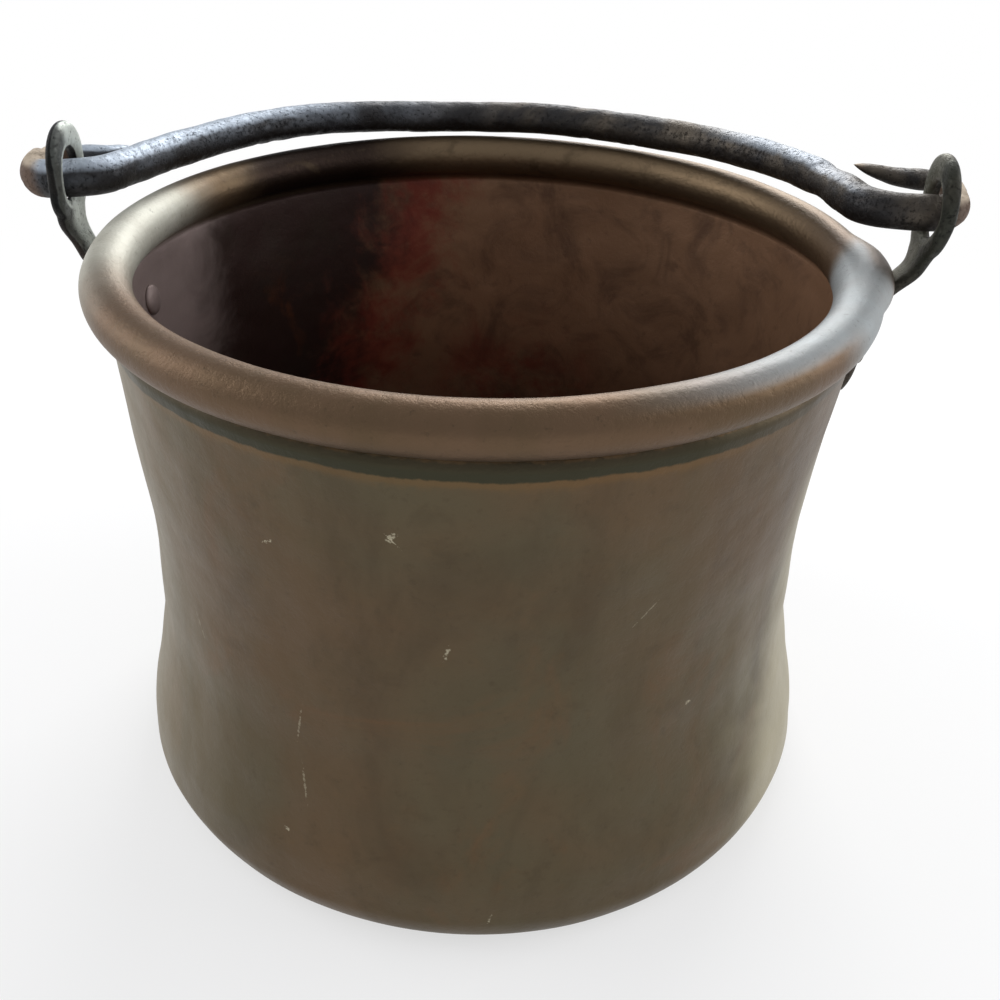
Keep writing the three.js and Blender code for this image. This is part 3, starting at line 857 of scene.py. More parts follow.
@dataclass
class KettleShell:
    """The copper body: one hammered sheet from the base to the edge of the rolled rim."""

    sheet: float = 2.0 * MM
    mouth_radius: float = 203.0 * MM
    rim_height: float = 305.0 * MM
    roll_radius: float = 12.0 * MM
    neck_radius: float = 194.5 * MM
    upper_radius: float = 187.9 * MM
    waist_radius: float = 185.8 * MM
    lower_radius: float = 194.4 * MM
    belly_radius: float = 205.5 * MM
    corner_reach: float = 18.0 * MM
    corner_rise: float = 22.0 * MM
    lip_angle: float = -74.0
    tuck_angle: float = -104.0
    upper_share: float = 0.25
    waist_share: float = 0.5
    lower_share: float = 0.78
    around: int = 288
    dent_depth: float = 1.3 * MM
    bulge: float = 3.2 * MM
    bulge_turn: float = 213.0
    bulge_width: float = 60.0
    waist_tuck: float = 1.9 * MM
    waist_tuck_height: float = 108.0 * MM
    hip_swell: float = 1.9 * MM
    hip_swell_height: float = 46.0 * MM
    swell: float = 0.5
    swell_start: float = -14.2
    swell_full: float = 1.4
    swell_hold: float = 3.1
    swell_end: float = 11.9
    finish: TarnishedCopper = field(default_factory=TarnishedCopper)

    @property
    def roll_centre(self) -> float:
        """Radius of the middle of the roll."""
        return self.mouth_radius - self.roll_radius

    @property
    def wall_top(self) -> float:
        """Height at which the wall meets the bottom of the roll."""
        return self.rim_height - self.roll_radius

    def wall_radius(self, height: float) -> float:
        """Gives the outside of the wall at a height.

        Args:
            height: above the base.

        Returns:
            The radius there.
        """
        drop = self.wall_top - self.corner_rise
        heights = [0.0, 1 - self.lower_share, 1 - self.waist_share, 1 - self.upper_share, 1.0]
        radii = [self.belly_radius, self.lower_radius, self.waist_radius]
        radii += [self.upper_radius, self.neck_radius]
        share = (height - self.corner_rise) / drop
        return self._through(heights, radii, share)

    @staticmethod
    def _through(places: list[float], values: list[float], at: float) -> float:
        """Reads a smooth curve through a few values.

        Args:
            places: where the values are.
            values: the values.
            at: where to read the curve.

        Returns:
            The value there.
        """
        at = min(max(at, places[0]), places[-1])
        last = len(places) - 2
        piece = min(sum(at > place for place in places[1:-1]), last)
        slopes = []
        for index in range(len(places)):
            low = max(index - 1, 0)
            high = min(index + 1, len(places) - 1)
            slopes.append((values[high] - values[low]) / (places[high] - places[low]))
        span = places[piece + 1] - places[piece]
        t = (at - places[piece]) / span
        start = (1 + 2 * t) * (1 - t) ** 2 * values[piece]
        finish = t * t * (3 - 2 * t) * values[piece + 1]
        lean = t * (1 - t) ** 2 * span * slopes[piece]
        lean -= t * t * (1 - t) * span * slopes[piece + 1]
        return start + finish + lean

    def profile(self) -> np.ndarray:
        """Gives the middle line of the sheet, as radius and height."""
        half = self.sheet / 2
        line = [(0.0, half)]
        flat = self.belly_radius - self.corner_reach
        line += [(flat * share, half) for share in np.linspace(0.1, 0.96, 12)]
        for turn in np.linspace(0.0, math.pi / 2, 18)[:-1]:
            radius = flat + (self.corner_reach - half) * math.sin(turn)
            height = self.corner_rise - (self.corner_rise - half) * math.cos(turn)
            line.append((radius, height))
        neck_start = self.wall_top - self.sheet * 2
        for height in np.linspace(self.corner_rise, neck_start, 110):
            line.append((self.wall_radius(height) - half, height))
        radius = self.roll_radius - half
        way = 360 - (self.lip_angle - self.tuck_angle)
        for share in np.linspace(0.0, 1.0, 76):
            turn = math.radians(self.tuck_angle - way * share)
            height = self.rim_height + radius * math.sin(turn)
            line.append((self.roll_centre + radius * math.cos(turn), height))
        return np.array(line)

    def _dent(self, place: Vector, share: float) -> float:
        """Gives how far a place of the sheet was hammered out, less than nothing for in."""
        broad = ripple(place, 7.0, 3.1) * 0.8
        marks = ripple(Vector((place.x, place.y, place.z * 0.5)), 24.0, 8.7) * 0.6
        small = ripple(place, 60.0, 5.2) * 0.14
        return -self.dent_depth * share * (0.3 + broad + marks + small)

    def _bulged(self, turn: float) -> float:
        """Gives how far the wall stands out at its one full side, by the angle round it."""
        off = abs((math.degrees(turn) - self.bulge_turn + 180) % 360 - 180) / self.bulge_width
        return self.bulge * math.cos(off * math.pi / 2) ** 2 if off < 1 else 0.0

    def _swollen(self, turn: float) -> float:
        """Gives how much thicker the roll is where it rides over the right ear."""
        angle = (math.degrees(turn) + 180) % 360 - 180
        rise = smooth(angle, self.swell_start, self.swell_full)
        return self.swell * rise * (1 - smooth(angle, self.swell_hold, self.swell_end))

    def _beaten(self, height: float) -> float:
        """Gives how far the wall at a height stands off its plain curve, all the way round."""
        tuck = math.exp(-(((height - self.waist_tuck_height) / (22 * MM)) ** 2))
        swell = math.exp(-(((height - self.hip_swell_height) / (19 * MM)) ** 2))
        return self.hip_swell * swell - self.waist_tuck * tuck

    def build(self) -> bpy.types.Object:
        """Builds the body's mesh with its masks.

        Returns:
            The dressed body.
        """
        line = self.profile()
        tangent = np.gradient(line, axis=0)
        tangent /= np.linalg.norm(tangent, axis=1)[:, None]
        normal = np.stack([tangent[:, 1], -tangent[:, 0]], axis=1)
        normal[0] = (0.0, -1.0)
        count = len(line)
        corner = self.roll_radius * 0.9
        root = np.array([self.roll_centre - corner * 0.5, self.rim_height + corner * 0.93])
        points: list[tuple[float, float, float]] = []
        masks: dict[str, list[float]] = {"inside": [], "roll": [], "under_lip_and_gap_shadow": []}
        order = [(index, 1) for index in range(count)]
        order += [(index, -1) for index in reversed(range(count))]
        for index, side in order:
            flat = line[index] + normal[index] * (side * self.sheet / 2)
            height = line[index][1]
            on_roll = smooth(index, count - 78, count - 74)
            on_wall = smooth(height, 0.0, 30 * MM) * (1 - smooth(height, 280 * MM, 293 * MM))
            full = mix(0.5, 1.0, smooth(height, 0.0, 30 * MM))
            full *= 1 - smooth(height, 215 * MM, 285 * MM)
            full *= min(line[index][0] / self.waist_radius, 1.0) ** 4
            beaten = self._beaten(height) if height > 4 * MM and on_roll == 0 else 0.0
            share = max(on_wall * (1 - on_roll), on_roll * 0.28)
            for step in range(self.around):
                turn = step / self.around * 2 * math.pi
                outward = Vector((math.cos(turn), math.sin(turn), 0.0))
                place = outward * line[index][0] + Vector((0, 0, height))
                shift = self._dent(place, share) if share > 0.01 else 0.0
                spot = flat + normal[index] * shift
                outer = smooth(spot[0], self.roll_centre - 5 * MM, self.roll_centre + 7 * MM)
                spot = spot + (spot - root) * (self._swollen(turn) * on_roll * outer)
                reach = 0.0 if index == 0 else spot[0] + beaten + self._bulged(turn) * full
                points.append((outward.x * reach, outward.y * reach, max(spot[1], 0.0)))
                masks["inside"].append(1.0 if side < 0 and on_roll < 0.5 else 0.0)
                masks["roll"].append(on_roll)
                lip = smooth(height, 270 * MM, 289 * MM) * (1 - on_roll)
                masks["under_lip_and_gap_shadow"].append(lip ** 3 if side > 0 else 0.0)
        faces = []
        rows = 2 * count
        for row in range(rows - 1):
            here = row * self.around
            ahead = here + self.around
            for step in range(self.around):
                beside = (step + 1) % self.around
                faces.append((here + step, here + beside, ahead + beside, ahead + step))
        made = mesh_object("kettle_body_hammered", np.array(points), faces)
        for name, shares in masks.items():
            paint(made, name, shares)
        weld(made)
        dress(made, self.finish.material("copper_tarnished"))
        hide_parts("kettle_body")
        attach(made, "kettle")
        return made


def weld(made: bpy.types.Object) -> None:
    """Joins points that lie on each other, such as a turned shape's poles."""
    joiner = made.modifiers.new("weld", "WELD")
    joiner.merge_threshold = 1e-6
    bake_modifiers(made)


def bake_modifiers(made: bpy.types.Object) -> None:
    """Replaces an object's mesh with what its modifiers give."""
    bpy.context.view_layer.update()
    graph = bpy.context.evaluated_depsgraph_get()
    changed = bpy.data.meshes.new_from_object(made.evaluated_get(graph))
    made.modifiers.clear()
    made.data = changed
    made.data.shade_smooth()


@dataclass
class PivotLine:
    """The line through both eyes that the bail swings on, read from the joint."""

    centre: Vector = field(init=False)
    axis: Vector = field(init=False)

    def __post_init__(self) -> None:
        """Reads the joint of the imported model."""
        joint = next(entry for entry in frame["joints"] if entry["name"] == "bail_swing")
        self.centre = Vector(joint["pos_m"])
        self.axis = Vector(joint["axis"]).normalized()

    def height_at(self, reach: float) -> float:
        """Gives the line's height at a distance along X."""
        return self.centre.z + reach * self.axis.z / self.axis.x


@dataclass(frozen=True)
class Strap:
    """How one ear's strap runs past the roll, measured from the mouth and the roll's middle."""

    bend_out: float
    bend_drop: float
    shoulder_out: float
    shoulder_rise: float
    toe: float


STRAPS = {
    Hand.LEFT: Strap(16.0 * MM, 15.0 * MM, 24.0 * MM, 3.0 * MM, 5.5),
    Hand.RIGHT: Strap(3.2 * MM, 8.0 * MM, 16.5 * MM, 6.0 * MM, 3.0),
}

# Each ear's iron with a painted highlight on faces that look one way and painted shade on those
# that look away.
EAR_IRON = {
    Hand.LEFT: ForgedIron(rubbed_highlight=srgb(206, 212, 204), highlight_way=(0.88, -0.20, 0.42),
                          highlight_span=(0.44, 0.62), highlight_ends=0.0, under=srgb(10, 11, 10),
                          shade_span=(0.48, 0.34), shade_share=0.95),
    Hand.RIGHT: ForgedIron(rubbed_highlight=srgb(104, 104, 92), highlight_way=(-0.70, -0.55, 0.45),
                           highlight_span=(0.20, 0.60), highlight_ends=0.0, under=srgb(38, 40, 34),
                           shade_span=(0.25, -0.10)),
}


@dataclass
class ForgedEar:
    """One iron eye with its strap past the roll and its riveted foot."""

    hand: Hand
    shell: KettleShell
    pivot: PivotLine
    eye_out: float = 21.8 * MM
    eye_lean: float = 1.5 * MM
    bar: float = 8.3 * MM
    crown: float = 13.4 * MM
    web: float = 3.0 * MM
    thickness: float = 7.2 * MM
    half_width: float = 12.0 * MM
    hole_top: float = 14.8 * MM
    hole_bottom: float = 12.2 * MM
    taper: float = 42.0 * MM
    shank_width: float = 15.0 * MM
    foot_width: float = 22.0 * MM
    foot_end: float = 6.6 * MM
    foot_thickness: float = 10.0 * MM
    foot_tip: float = 7.5 * MM
    foot_run: float = 15.0 * MM
    foot_drop: float = 63.0 * MM
    foot_top: float = 30.0 * MM
    gap: float = 0.55 * MM
    voxel: float = 0.7 * MM

    @property
    def strap(self) -> Strap:
        """How this ear's strap runs."""
        return STRAPS[self.hand]

    @property
    def eye_reach(self) -> float:
        """Distance from the kettle's axis to the middle of the eye."""
        return self.shell.mouth_radius + self.eye_out

    @property
    def eye_height(self) -> float:
        """Height of the pivot line at this ear."""
        return self.pivot.height_at(self.eye_reach * self.hand.value)

    def side_line(self) -> list[Vector]:
        """Gives the ear's side view as a dense line from the foot's end to the eye's top."""
        rim = self.shell.rim_height
        mouth = self.shell.mouth_radius
        line = []
        for drop in np.linspace(self.foot_drop, self.foot_top, 13):
            middle = self.gap + self._foot_thick(rim - drop) / 2
            line.append(Vector((self.shell.wall_radius(rim - drop) + middle, 0, rim - drop)))
        strap = self.strap
        line.append(Vector((mouth + strap.bend_out, 0, rim - strap.bend_drop)))
        line.append(Vector((mouth + strap.shoulder_out, 0, rim + strap.shoulder_rise)))
        line.append(Vector((self.eye_reach, 0, self.eye_height)))
        top = self.eye_height + self.hole_top + self.crown
        line.append(Vector((self.eye_reach - self.eye_lean, 0, top)))
        return soften(resample(line, 1.0 * MM), 16)

    def _foot_thick(self, height: float) -> float:
        """Gives the foot's thickness, drawn thin towards its end."""
        bottom = self.shell.rim_height - self.foot_drop
        share = smooth(height, bottom, bottom + self.foot_run)
        return mix(self.foot_tip, self.foot_thickness, share)

    def _at(self, line: list[Vector], height: float) -> tuple[Vector, Vector, Vector]:
        """Reads the side view at a height.

        Args:
            line: the side view.
            height: above the base.

        Returns:
            The place, the direction out of the plane of the bar, and the one across it.
        """
        index = min(range(1, len(line) - 1), key=lambda at: abs(line[at].z - height))
        tangent = (line[index + 1] - line[index - 1]).normalized()
        place = line[index] + tangent * ((height - line[index].z) / max(tangent.z, 0.2))
        share = smooth(height, self.shell.rim_height, self.eye_height - self.hole_bottom)
        twist = Matrix.Rotation(math.radians(self.strap.toe) * share, 3, "Z")
        outward = twist @ Vector((tangent.z, 0, -tangent.x)).normalized()
        across = twist @ Vector((0, 1, 0))
        return place, outward, across

    def _lumpy(self, place: Vector, depth: float) -> float:
        """Gives how much the hammer changed the bar's size at a place."""
        return 1 + depth * ripple(place, 55.0, 1.3 * self.hand.value)

    def _eye(self, line: list[Vector]) -> tuple[np.ndarray, list[tuple[int, ...]]]:
        """Builds the eye, a closed ring that is thicker over the hole than beside it."""
        places = []
        outwards = []
        widths = []
        for turn in np.linspace(0.0, 2 * math.pi, 96, endpoint=False):
            up = math.sin(turn)
            bar = mix(self.bar, self.crown, smooth(up, 0.1, 1.0))
            bar += self.web * smooth(-up, 0.1, 0.8)
            rise = up * ((self.hole_top if up > 0 else self.hole_bottom) + bar / 2)
            place, outward, across = self._at(line, self.eye_height + rise)
            places.append(place + across * (math.cos(turn) * (self.half_width + bar / 2)))
            outwards.append(outward)
            widths.append(bar)
        rings = []
        count = len(places)
        for index, place in enumerate(places):
            run = (places[(index + 1) % count] - places[index - 1]).normalized()
            thick = outwards[index] - run * outwards[index].dot(run)
            thick.normalize()
            wide = thick.cross(run).normalized()
            lump = self._lumpy(place, 0.05)
            rings.append(section(place, wide, thick, widths[index] * lump, self.thickness * lump,
                                 6.0, 32, 0.55))
        return skin(np.array(rings), closed=True)

    def _width(self, height: float) -> float:
        """Gives the strap's width: a round-ended foot, a plain shank, then the eye's web."""
        rim = self.shell.rim_height
        bottom = rim - self.foot_drop
        run = min(max((height - bottom) / (self.foot_width / 2), 0.0), 1.0)
        foot = mix(self.foot_end, self.foot_width, math.sqrt(1 - (1 - run) ** 2))
        spread = min(max((self.eye_height - height) / self.taper, 0.0), 1.0)
        eye = 2 * (self.half_width + self.bar)
        shank = mix(self.shank_width, eye, (1 + math.cos(math.pi * spread)) / 2)
        return mix(foot, shank, smooth(height, rim - self.foot_top, rim))

    def _strap(self, line: list[Vector]) -> tuple[np.ndarray, list[tuple[int, ...]]]:
        """Builds the strap from the web under the hole down to the end of the foot."""
        rim = self.shell.rim_height
        bottom = rim - self.foot_drop
        top = self.eye_height - self.hole_bottom - 2 * MM
        rings = []
        for height in np.linspace(top, bottom + 0.2 * MM, 90):
            place, outward, across = self._at(line, height)
            share = smooth(height, rim - self.foot_top, rim)
            thick = mix(self._foot_thick(height), self.thickness, share)
            lump = self._lumpy(place, 0.04)
            width = self._width(height) * lump
            rings.append(section(place, across, outward, width, thick * lump, 6.0, 32, 0.4))
        return skin(np.array(rings))

    def build(self) -> bpy.types.Object:
        """Forges the ear into one mesh and dresses it.

        Returns:
            The ear.
        """
        line = self.side_line()
        points, faces = self._eye(line)
        strap_points, strap_faces = self._strap(line)
        faces = faces + [tuple(number + len(points) for number in face) for face in strap_faces]
        name = f"{self.hand.name.lower()}_ear"
        made = mesh_object(f"{name}_forged", np.vstack([points, strap_points]), faces)
        if self.hand is Hand.LEFT:
            made.data.transform(Matrix.Rotation(math.pi, 4, "Z"))
        turn_outwards(made)
        forge = made.modifiers.new("forge", "REMESH")
        forge.mode = "VOXEL"
        forge.voxel_size = self.voxel
        ease = made.modifiers.new("ease", "SMOOTH")
        ease.factor = 0.5
        ease.iterations = 6
        bake_modifiers(made)
        paint(made, "rust", [self._rust(vertex.co) for vertex in made.data.vertices])
        # Mask for the painted shade on the outer half of the near limb.
        paint(made, "outer", [self._outer(vertex.co) for vertex in made.data.vertices])
        dress(made, EAR_IRON[self.hand].material(f"{name}_iron"))
        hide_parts(name)
        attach(made, "kettle")
        return made

    def _outer(self, place: Vector) -> float:
        """Gives how far a place lies on the outer half of the eye's near limb, where the iron
        paints shade.
        """
        rise = place.z - self.eye_height
        tall = (self.hole_top if rise > 0 else self.hole_bottom) + self.bar / 2
        far = math.hypot(place.y / (self.half_width + self.bar / 2), rise / tall)
        return smooth(far, 0.96, 1.06) * smooth(-place.y, 1 * MM, 9 * MM)

    def _rust(self, place: Vector) -> float:
        """Gives how rusty the ear is at a place: a little, low on the shank."""
        low = 1 - smooth(place.z, self.shell.rim_height - 20 * MM, self.shell.rim_height + 20 * MM)
        return 0.2 * low + 0.15 * max(ripple(place, 45.0, 4.0), 0.0)


def turn_outwards(made: bpy.types.Object) -> None:
    """Turns every face of a mesh so that it points out of its solid."""
    work = bmesh.new()
    work.from_mesh(made.data)
    bmesh.ops.recalc_face_normals(work, faces=work.faces)
    work.to_mesh(made.data)
    work.free()
    made.data.shade_smooth()


@dataclass
class DomedRivet:
    """A copper rivet through the wall and a foot, with a dome inside the kettle."""

    hand: Hand
    shell: KettleShell
    drop: float = 40.0 * MM
    shank: float = 8.0 * MM
    head: float = 17.0 * MM
    head_rise: float = 3.0 * MM
    tail: float = 14.0 * MM
    tail_rise: float = 3.0 * MM
    foot: float = 9.6 * MM
    gap: float = 0.35 * MM
    seat: float = 0.45 * MM
    ease: float = 0.2 * MM
    edge: float = 0.90
    sides: int = 48
    finish: TarnishedCopper = field(default_factory=TarnishedCopper)

    def _outline(self) -> list[tuple[float, float]]:
        """Gives the rivet's outline as distance along it and radius."""
        inner = -self.shell.sheet - self.gap - self.seat
        outer = self.foot + self.ease + 2 * self.gap
        outline = []
        for turn in np.linspace(0.0, math.pi / 2, 14):
            along = inner - self.head_rise * math.cos(turn)
            outline.append((along, self.head / 2 * math.sin(turn) ** 0.9))
        outline.append((inner, self.shank / 2))
        outline.append((outer, self.shank / 2))
        for turn in np.linspace(math.pi / 2, 0.0, 14):
            along = outer + self.tail_rise * math.cos(turn) ** 0.8
            outline.append((along, self.tail / 2 * math.sin(turn)))
        return outline

    def build(self) -> bpy.types.Object:
        """Builds the rivet along X, then sets it square to the wall.

        Returns:
            The rivet.
        """
        rings = []
        for along, radius in self._outline():
            ring = []
            for side in range(self.sides):
                turn = side / self.sides * 2 * math.pi
                spot = Vector((along, turn * 0.01, 0))
                beaten = radius * (1 + 0.05 * ripple(spot, 90.0, 2.0 + self.hand.value))
                ring.append((along, math.cos(turn) * beaten, math.sin(turn) * beaten))
            rings.append(ring)
        points, faces = skin(np.array(rings))
        name = f"{self.hand.name.lower()}_rivet_domed"
        made = mesh_object(name, points, faces)
        height = self.shell.rim_height - self.drop
        step = 1.0 * MM
        slope = self.shell.wall_radius(height + step) - self.shell.wall_radius(height - step)
        lean = math.atan2(slope, 2 * step)
        place = Vector((self.shell.wall_radius(height), 0, height))
        seat = Matrix.Translation(place) @ Matrix.Rotation(lean, 4, "Y")
        if self.hand is Hand.LEFT:
            seat = Matrix.Rotation(math.pi, 4, "Z") @ seat
        made.data.transform(seat)
        weld(made)
        turn_outwards(made)
        axis = Vector((0, 0, height))
        spots = [vertex.co for vertex in made.data.vertices]
        inner = [math.hypot(spot.x, spot.y) < place.x - self.shell.sheet for spot in spots]
        # Painted shadow: the head's rim is marked to take the dark colour, as a shadow in the gap
        # under it.
        edge = [(spot - axis).yz.length > self.head / 2 * self.edge for spot in spots]
        paint(made, "inside", [1.0 if within else 0.0 for within in inner])
        paint(made, "roll", [0.0] * len(inner))
        paint(made, "under_lip_and_gap_shadow", [1.0 if rim else 0.0 for rim in edge])
        dress(made, self.finish.material(f"{self.hand.name.lower()}_rivet_copper"))
        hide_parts(f"{self.hand.name.lower()}_rivet")
        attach(made, "kettle")
        return made


@dataclass(frozen=True)
class Hook:
    """One end of the bail: the bend outside the eye and the end that comes back.

    With follow, in degrees, the end runs along the arch and stops at that angle. Without
    it, the end comes straight back, and reach, throat_reach and ledge_reach place it.
    """

    hand: Hand
    gap: float
    wall: float
    tall: float
    bend: float
    rise: float
    throat_rise: float
    sink: float
    tongue_wide: float
    tongue_tall: float
    tip_wide: float
    tip_tall: float
    fullness: float
    run_tall: float
    drop: float = 0.0
    follow: float = 0.0
    reach: float = 0.0
    throat_reach: float = 0.0
    ledge_reach: float = 0.0
    tip_lift: float = 0.0


@dataclass(frozen=True)
class Stock:
    """The bar's size and finish at one place."""

    wide: float
    tall: float
    squareness: float
    chamfer: float
    hook: float
    rust: float


LEFT_HOOK = Hook(Hand.LEFT, gap=11.0 * MM, wall=16.0 * MM, tall=22.0 * MM, bend=12.0 * MM,
                 rise=3.0 * MM, throat_rise=-1.0 * MM, sink=1.5 * MM, tongue_wide=11.0 * MM,
                 tongue_tall=11.5 * MM, tip_wide=9.0 * MM, tip_tall=7.5 * MM, fullness=1.3,
                 run_tall=21.0 * MM, drop=2.4 * MM, follow=30.5)
RIGHT_HOOK = Hook(Hand.RIGHT, gap=3.0 * MM, wall=11.0 * MM, tall=15.0 * MM, bend=10.0 * MM,
                  rise=3.6 * MM, throat_rise=2.0 * MM, sink=1.0 * MM, tongue_wide=13.0 * MM,
                  tongue_tall=10.5 * MM, tip_wide=3.0 * MM, tip_tall=1.6 * MM, fullness=2.6,
                  run_tall=19.0 * MM, reach=37.5 * MM, throat_reach=16.0 * MM,
                  ledge_reach=26.0 * MM, tip_lift=3.2 * MM)


@dataclass
class HookedBail:
    """The forged bail: a round arch, square runs through the eyes and a hook at each end."""

    shell: KettleShell
    pivot: PivotLine
    bar: float = 20.0 * MM
    eye_out: float = 21.8 * MM
    ear_thickness: float = 7.0 * MM
    arch_inset: float = 28.8 * MM
    arch_shift: float = 8.0 * MM
    arch_lift: float = 4.3 * MM
    crest_lift: float = 2.0 * MM
    crest_half: float = 95.0 * MM
    arch_leave: float = 11.0
    shoulder: float = 21.0 * MM
    clearance: float = 0.5 * MM
    run_wide: float = 18.0 * MM
    hook_pitch: float = 36.0 * MM
    hook_tip: float = 12.5
    notch: float = 3.0 * MM
    notch_reach: float = 180.5 * MM
    notch_half: float = 3.5 * MM
    end_bend: float = 5.0 * MM
    follow_corners: int = 12
    settled: float = 0.4
    step_starts: float = 0.66
    step_ends: float = 0.80
    sides: int = 48
    spacing: float = 1.5 * MM
    finish: ForgedIron = field(default_factory=ForgedIron)

    @property
    def eye_reach(self) -> float:
        """Distance from the kettle's axis to the middle of an eye."""
        return self.shell.mouth_radius + self.eye_out

    @property
    def arch_radius(self) -> float:
        """Radius of the arch at the middle of the bar."""
        return self.eye_reach - self.arch_inset

    @property
    def hook_up(self) -> Vector:
        """The direction out of the plane of the hooks, in the bail's own frame."""
        tip = math.radians(self.hook_tip)
        return Vector((0, -math.sin(tip), math.cos(tip)))

    @property
    def hook_back(self) -> Vector:
        """The direction in which the hooks turn back, in the bail's own frame."""
        tip = math.radians(self.hook_tip)
        return Vector((0, math.cos(tip), math.sin(tip)))

    def _arch(self, hand: Hand) -> list[Vector]:
        """Gives half of the arch on the flat bail, as if its hand were the right one."""
        top = math.pi / 2
        leave = math.radians(self.arch_leave)
        line = []
        for turn in np.linspace(top, leave, 90):
            down = (top - turn) / (top - leave)
            lift = self.arch_lift * math.sin(math.pi * down) ** 2 if hand is Hand.LEFT else 0.0
            reach = self.arch_radius * math.cos(turn) - hand.value * self.arch_shift
            line.append(Vector((reach, self.arch_radius * math.sin(turn), lift)))
        return line

    def rest_tilt(self) -> float:
        """Gives how far the bail dips below level when its arch first meets the rim."""
        seat_reach = self.shell.roll_radius + self.bar / 2 + self.clearance
        slope = self.pivot.axis.z / self.pivot.axis.x
        tilt = math.pi / 2
        for hand in Hand:
            for point in self._arch(hand):
                off = math.hypot(point.x, point.y) - self.shell.roll_centre
                if abs(off) < seat_reach:
                    seat = self.shell.rim_height + math.sqrt(seat_reach ** 2 - off ** 2)
                    line = self.pivot.centre.z + hand.value * point.x * slope
                    tilt = min(tilt, math.asin((line + point.z - seat) / point.y))
        return tilt

    @staticmethod
    def _bent(corners: list[Vector], bends: list[float]) -> list[Vector]:
        """Joins straight runs with round bends.

        Args:
            corners: the runs' ends.
            bends: the radius at each inner corner.

        Returns:
            A dense line.
        """
        line = [corners[0]]
        for index in range(1, len(corners) - 1):
            corner = corners[index]
            before = (corners[index - 1] - corner).normalized()
            after = (corners[index + 1] - corner).normalized()
            back = bends[index - 1] / math.tan(before.angle(after) / 2)
            start = corner + before * back
            finish = corner + after * back
            for t in np.linspace(0.0, 1.0, 16):
                line.append(start * (1 - t) ** 2 + corner * (2 * t * (1 - t)) + finish * t * t)
        line.append(corners[-1])
        return line

    def _half(self, hook: Hook) -> list[Vector]:
        """Gives one half of the bail's middle line, from the top of the arch to the tip."""
        arch = self._arch(hook.hand)
        for point in arch:
            point.z += self.crest_lift * (1 - smooth(abs(point.x), 0.0, self.crest_half))
        bend_reach = self.eye_reach + self.ear_thickness / 2 + hook.gap + hook.wall / 2
        foot = self.arch_radius / math.cos(math.radians(self.arch_leave))
        shoulder = Vector((foot - hook.hand.value * self.arch_shift, 0, 0))
        outer_low = Vector((bend_reach, 0, -hook.drop))
        outer_high = outer_low + self.hook_back * self.hook_pitch - self.hook_up * hook.sink
        end_of = self._followed if hook.follow else self._straight
        tongue = end_of(hook, outer_high)
        corners = [arch[-1], shoulder, outer_low, outer_high] + tongue
        bends = [self.shoulder, hook.bend, hook.bend] + [self.end_bend] * (len(tongue) - 1)
        return soften(resample(arch + self._bent(corners, bends)[1:], self.spacing), 5)

    def _straight(self, hook: Hook, start: Vector) -> list[Vector]:
        """Gives the corners of a short end that comes straight back past the eye."""
        throat = Vector((self.eye_reach - hook.throat_reach, start.y, start.z))
        throat += self.hook_up * hook.throat_rise
        end = Vector((self.eye_reach - hook.reach, start.y, start.z))
        end += self.hook_up * (hook.rise + hook.sink)
        ledge = Vector((self.eye_reach - hook.ledge_reach, end.y, end.z))
        end += self.hook_up * hook.tip_lift
        return [throat, ledge, end]

    def _followed(self, hook: Hook, start: Vector) -> list[Vector]:
        """Gives the corners of a long end that is hammered down along the arch's outer side.

        Args:
            hook: the hook.
            start: its last bend.

        Returns:
            The corners, with a step up near the end.
        """
        radius = self.arch_radius + (self.bar + hook.tongue_wide) / 2
        first = math.asin(start.y / radius)
        last = math.radians(hook.follow)
        line = []
        for share in np.linspace(0.0, 1.0, self.follow_corners):
            turn = mix(first, last, share)
            height = mix(start.z, hook.throat_rise, smooth(share, 0.0, self.settled))
            height += hook.rise * smooth(share, self.step_starts, self.step_ends)
            reach = radius * math.cos(turn) + self.arch_shift
            line.append(Vector((reach, radius * math.sin(turn), height)))
        return line

    def _stock(self, points: list[Vector], hook: Hook) -> list[Stock]:
        """Gives the bar's sizes along one half of the bail."""
        eye_outer = self.eye_reach + self.ear_thickness / 2
        bend = eye_outer + hook.gap
        tip_x = points[-1].x
        sizes = []
        past = False
        for place in points:
            past = past or (place.x > self.eye_reach and place.y > self.hook_pitch / 2)
            if past:
                left = min(max((place.x - tip_x) / (bend - tip_x), 0.0), 1.0)
                full = 1 - (1 - left) ** hook.fullness
                in_bend = min(max((place.x - bend) / hook.wall, 0.0), 1.0) * 0.6
                wide = mix(mix(hook.tip_wide, hook.tongue_wide, full), hook.wall, in_bend)
                tall = mix(mix(hook.tip_tall, hook.tongue_tall, full), hook.tall, in_bend)
                tip_rust = 0.8 * (1 - smooth(left, 0.02, 0.14)) if hook.hand is Hand.RIGHT else 0.0
                rust = max(tip_rust, smooth(place.x, bend - 3 * MM, bend + 3 * MM))
                sizes.append(Stock(wide, tall, 4.5, 0.6, 1.0, rust))
                continue
            arch_foot = self.eye_reach - 2 * self.arch_inset
            flat = smooth(place.x, arch_foot, self.eye_reach - self.arch_inset / 2)
            swell = smooth(place.x, eye_outer, bend + hook.wall / 2)
            wide = mix(mix(self.bar, self.run_wide, flat), hook.wall, swell)
            tall = mix(mix(self.bar, hook.run_tall, flat), hook.tall, swell)
            if hook.hand is Hand.RIGHT:
                off = (place.x - self.notch_reach) / self.notch_half
                tall -= self.notch * math.exp(-(off ** 2))
            rust = smooth(place.x, bend - 4 * MM, bend + 2 * MM)
            sizes.append(Stock(wide, tall, 2.3 + 3.2 * flat, 0.25 + 0.65 * flat, swell, rust))
        return sizes

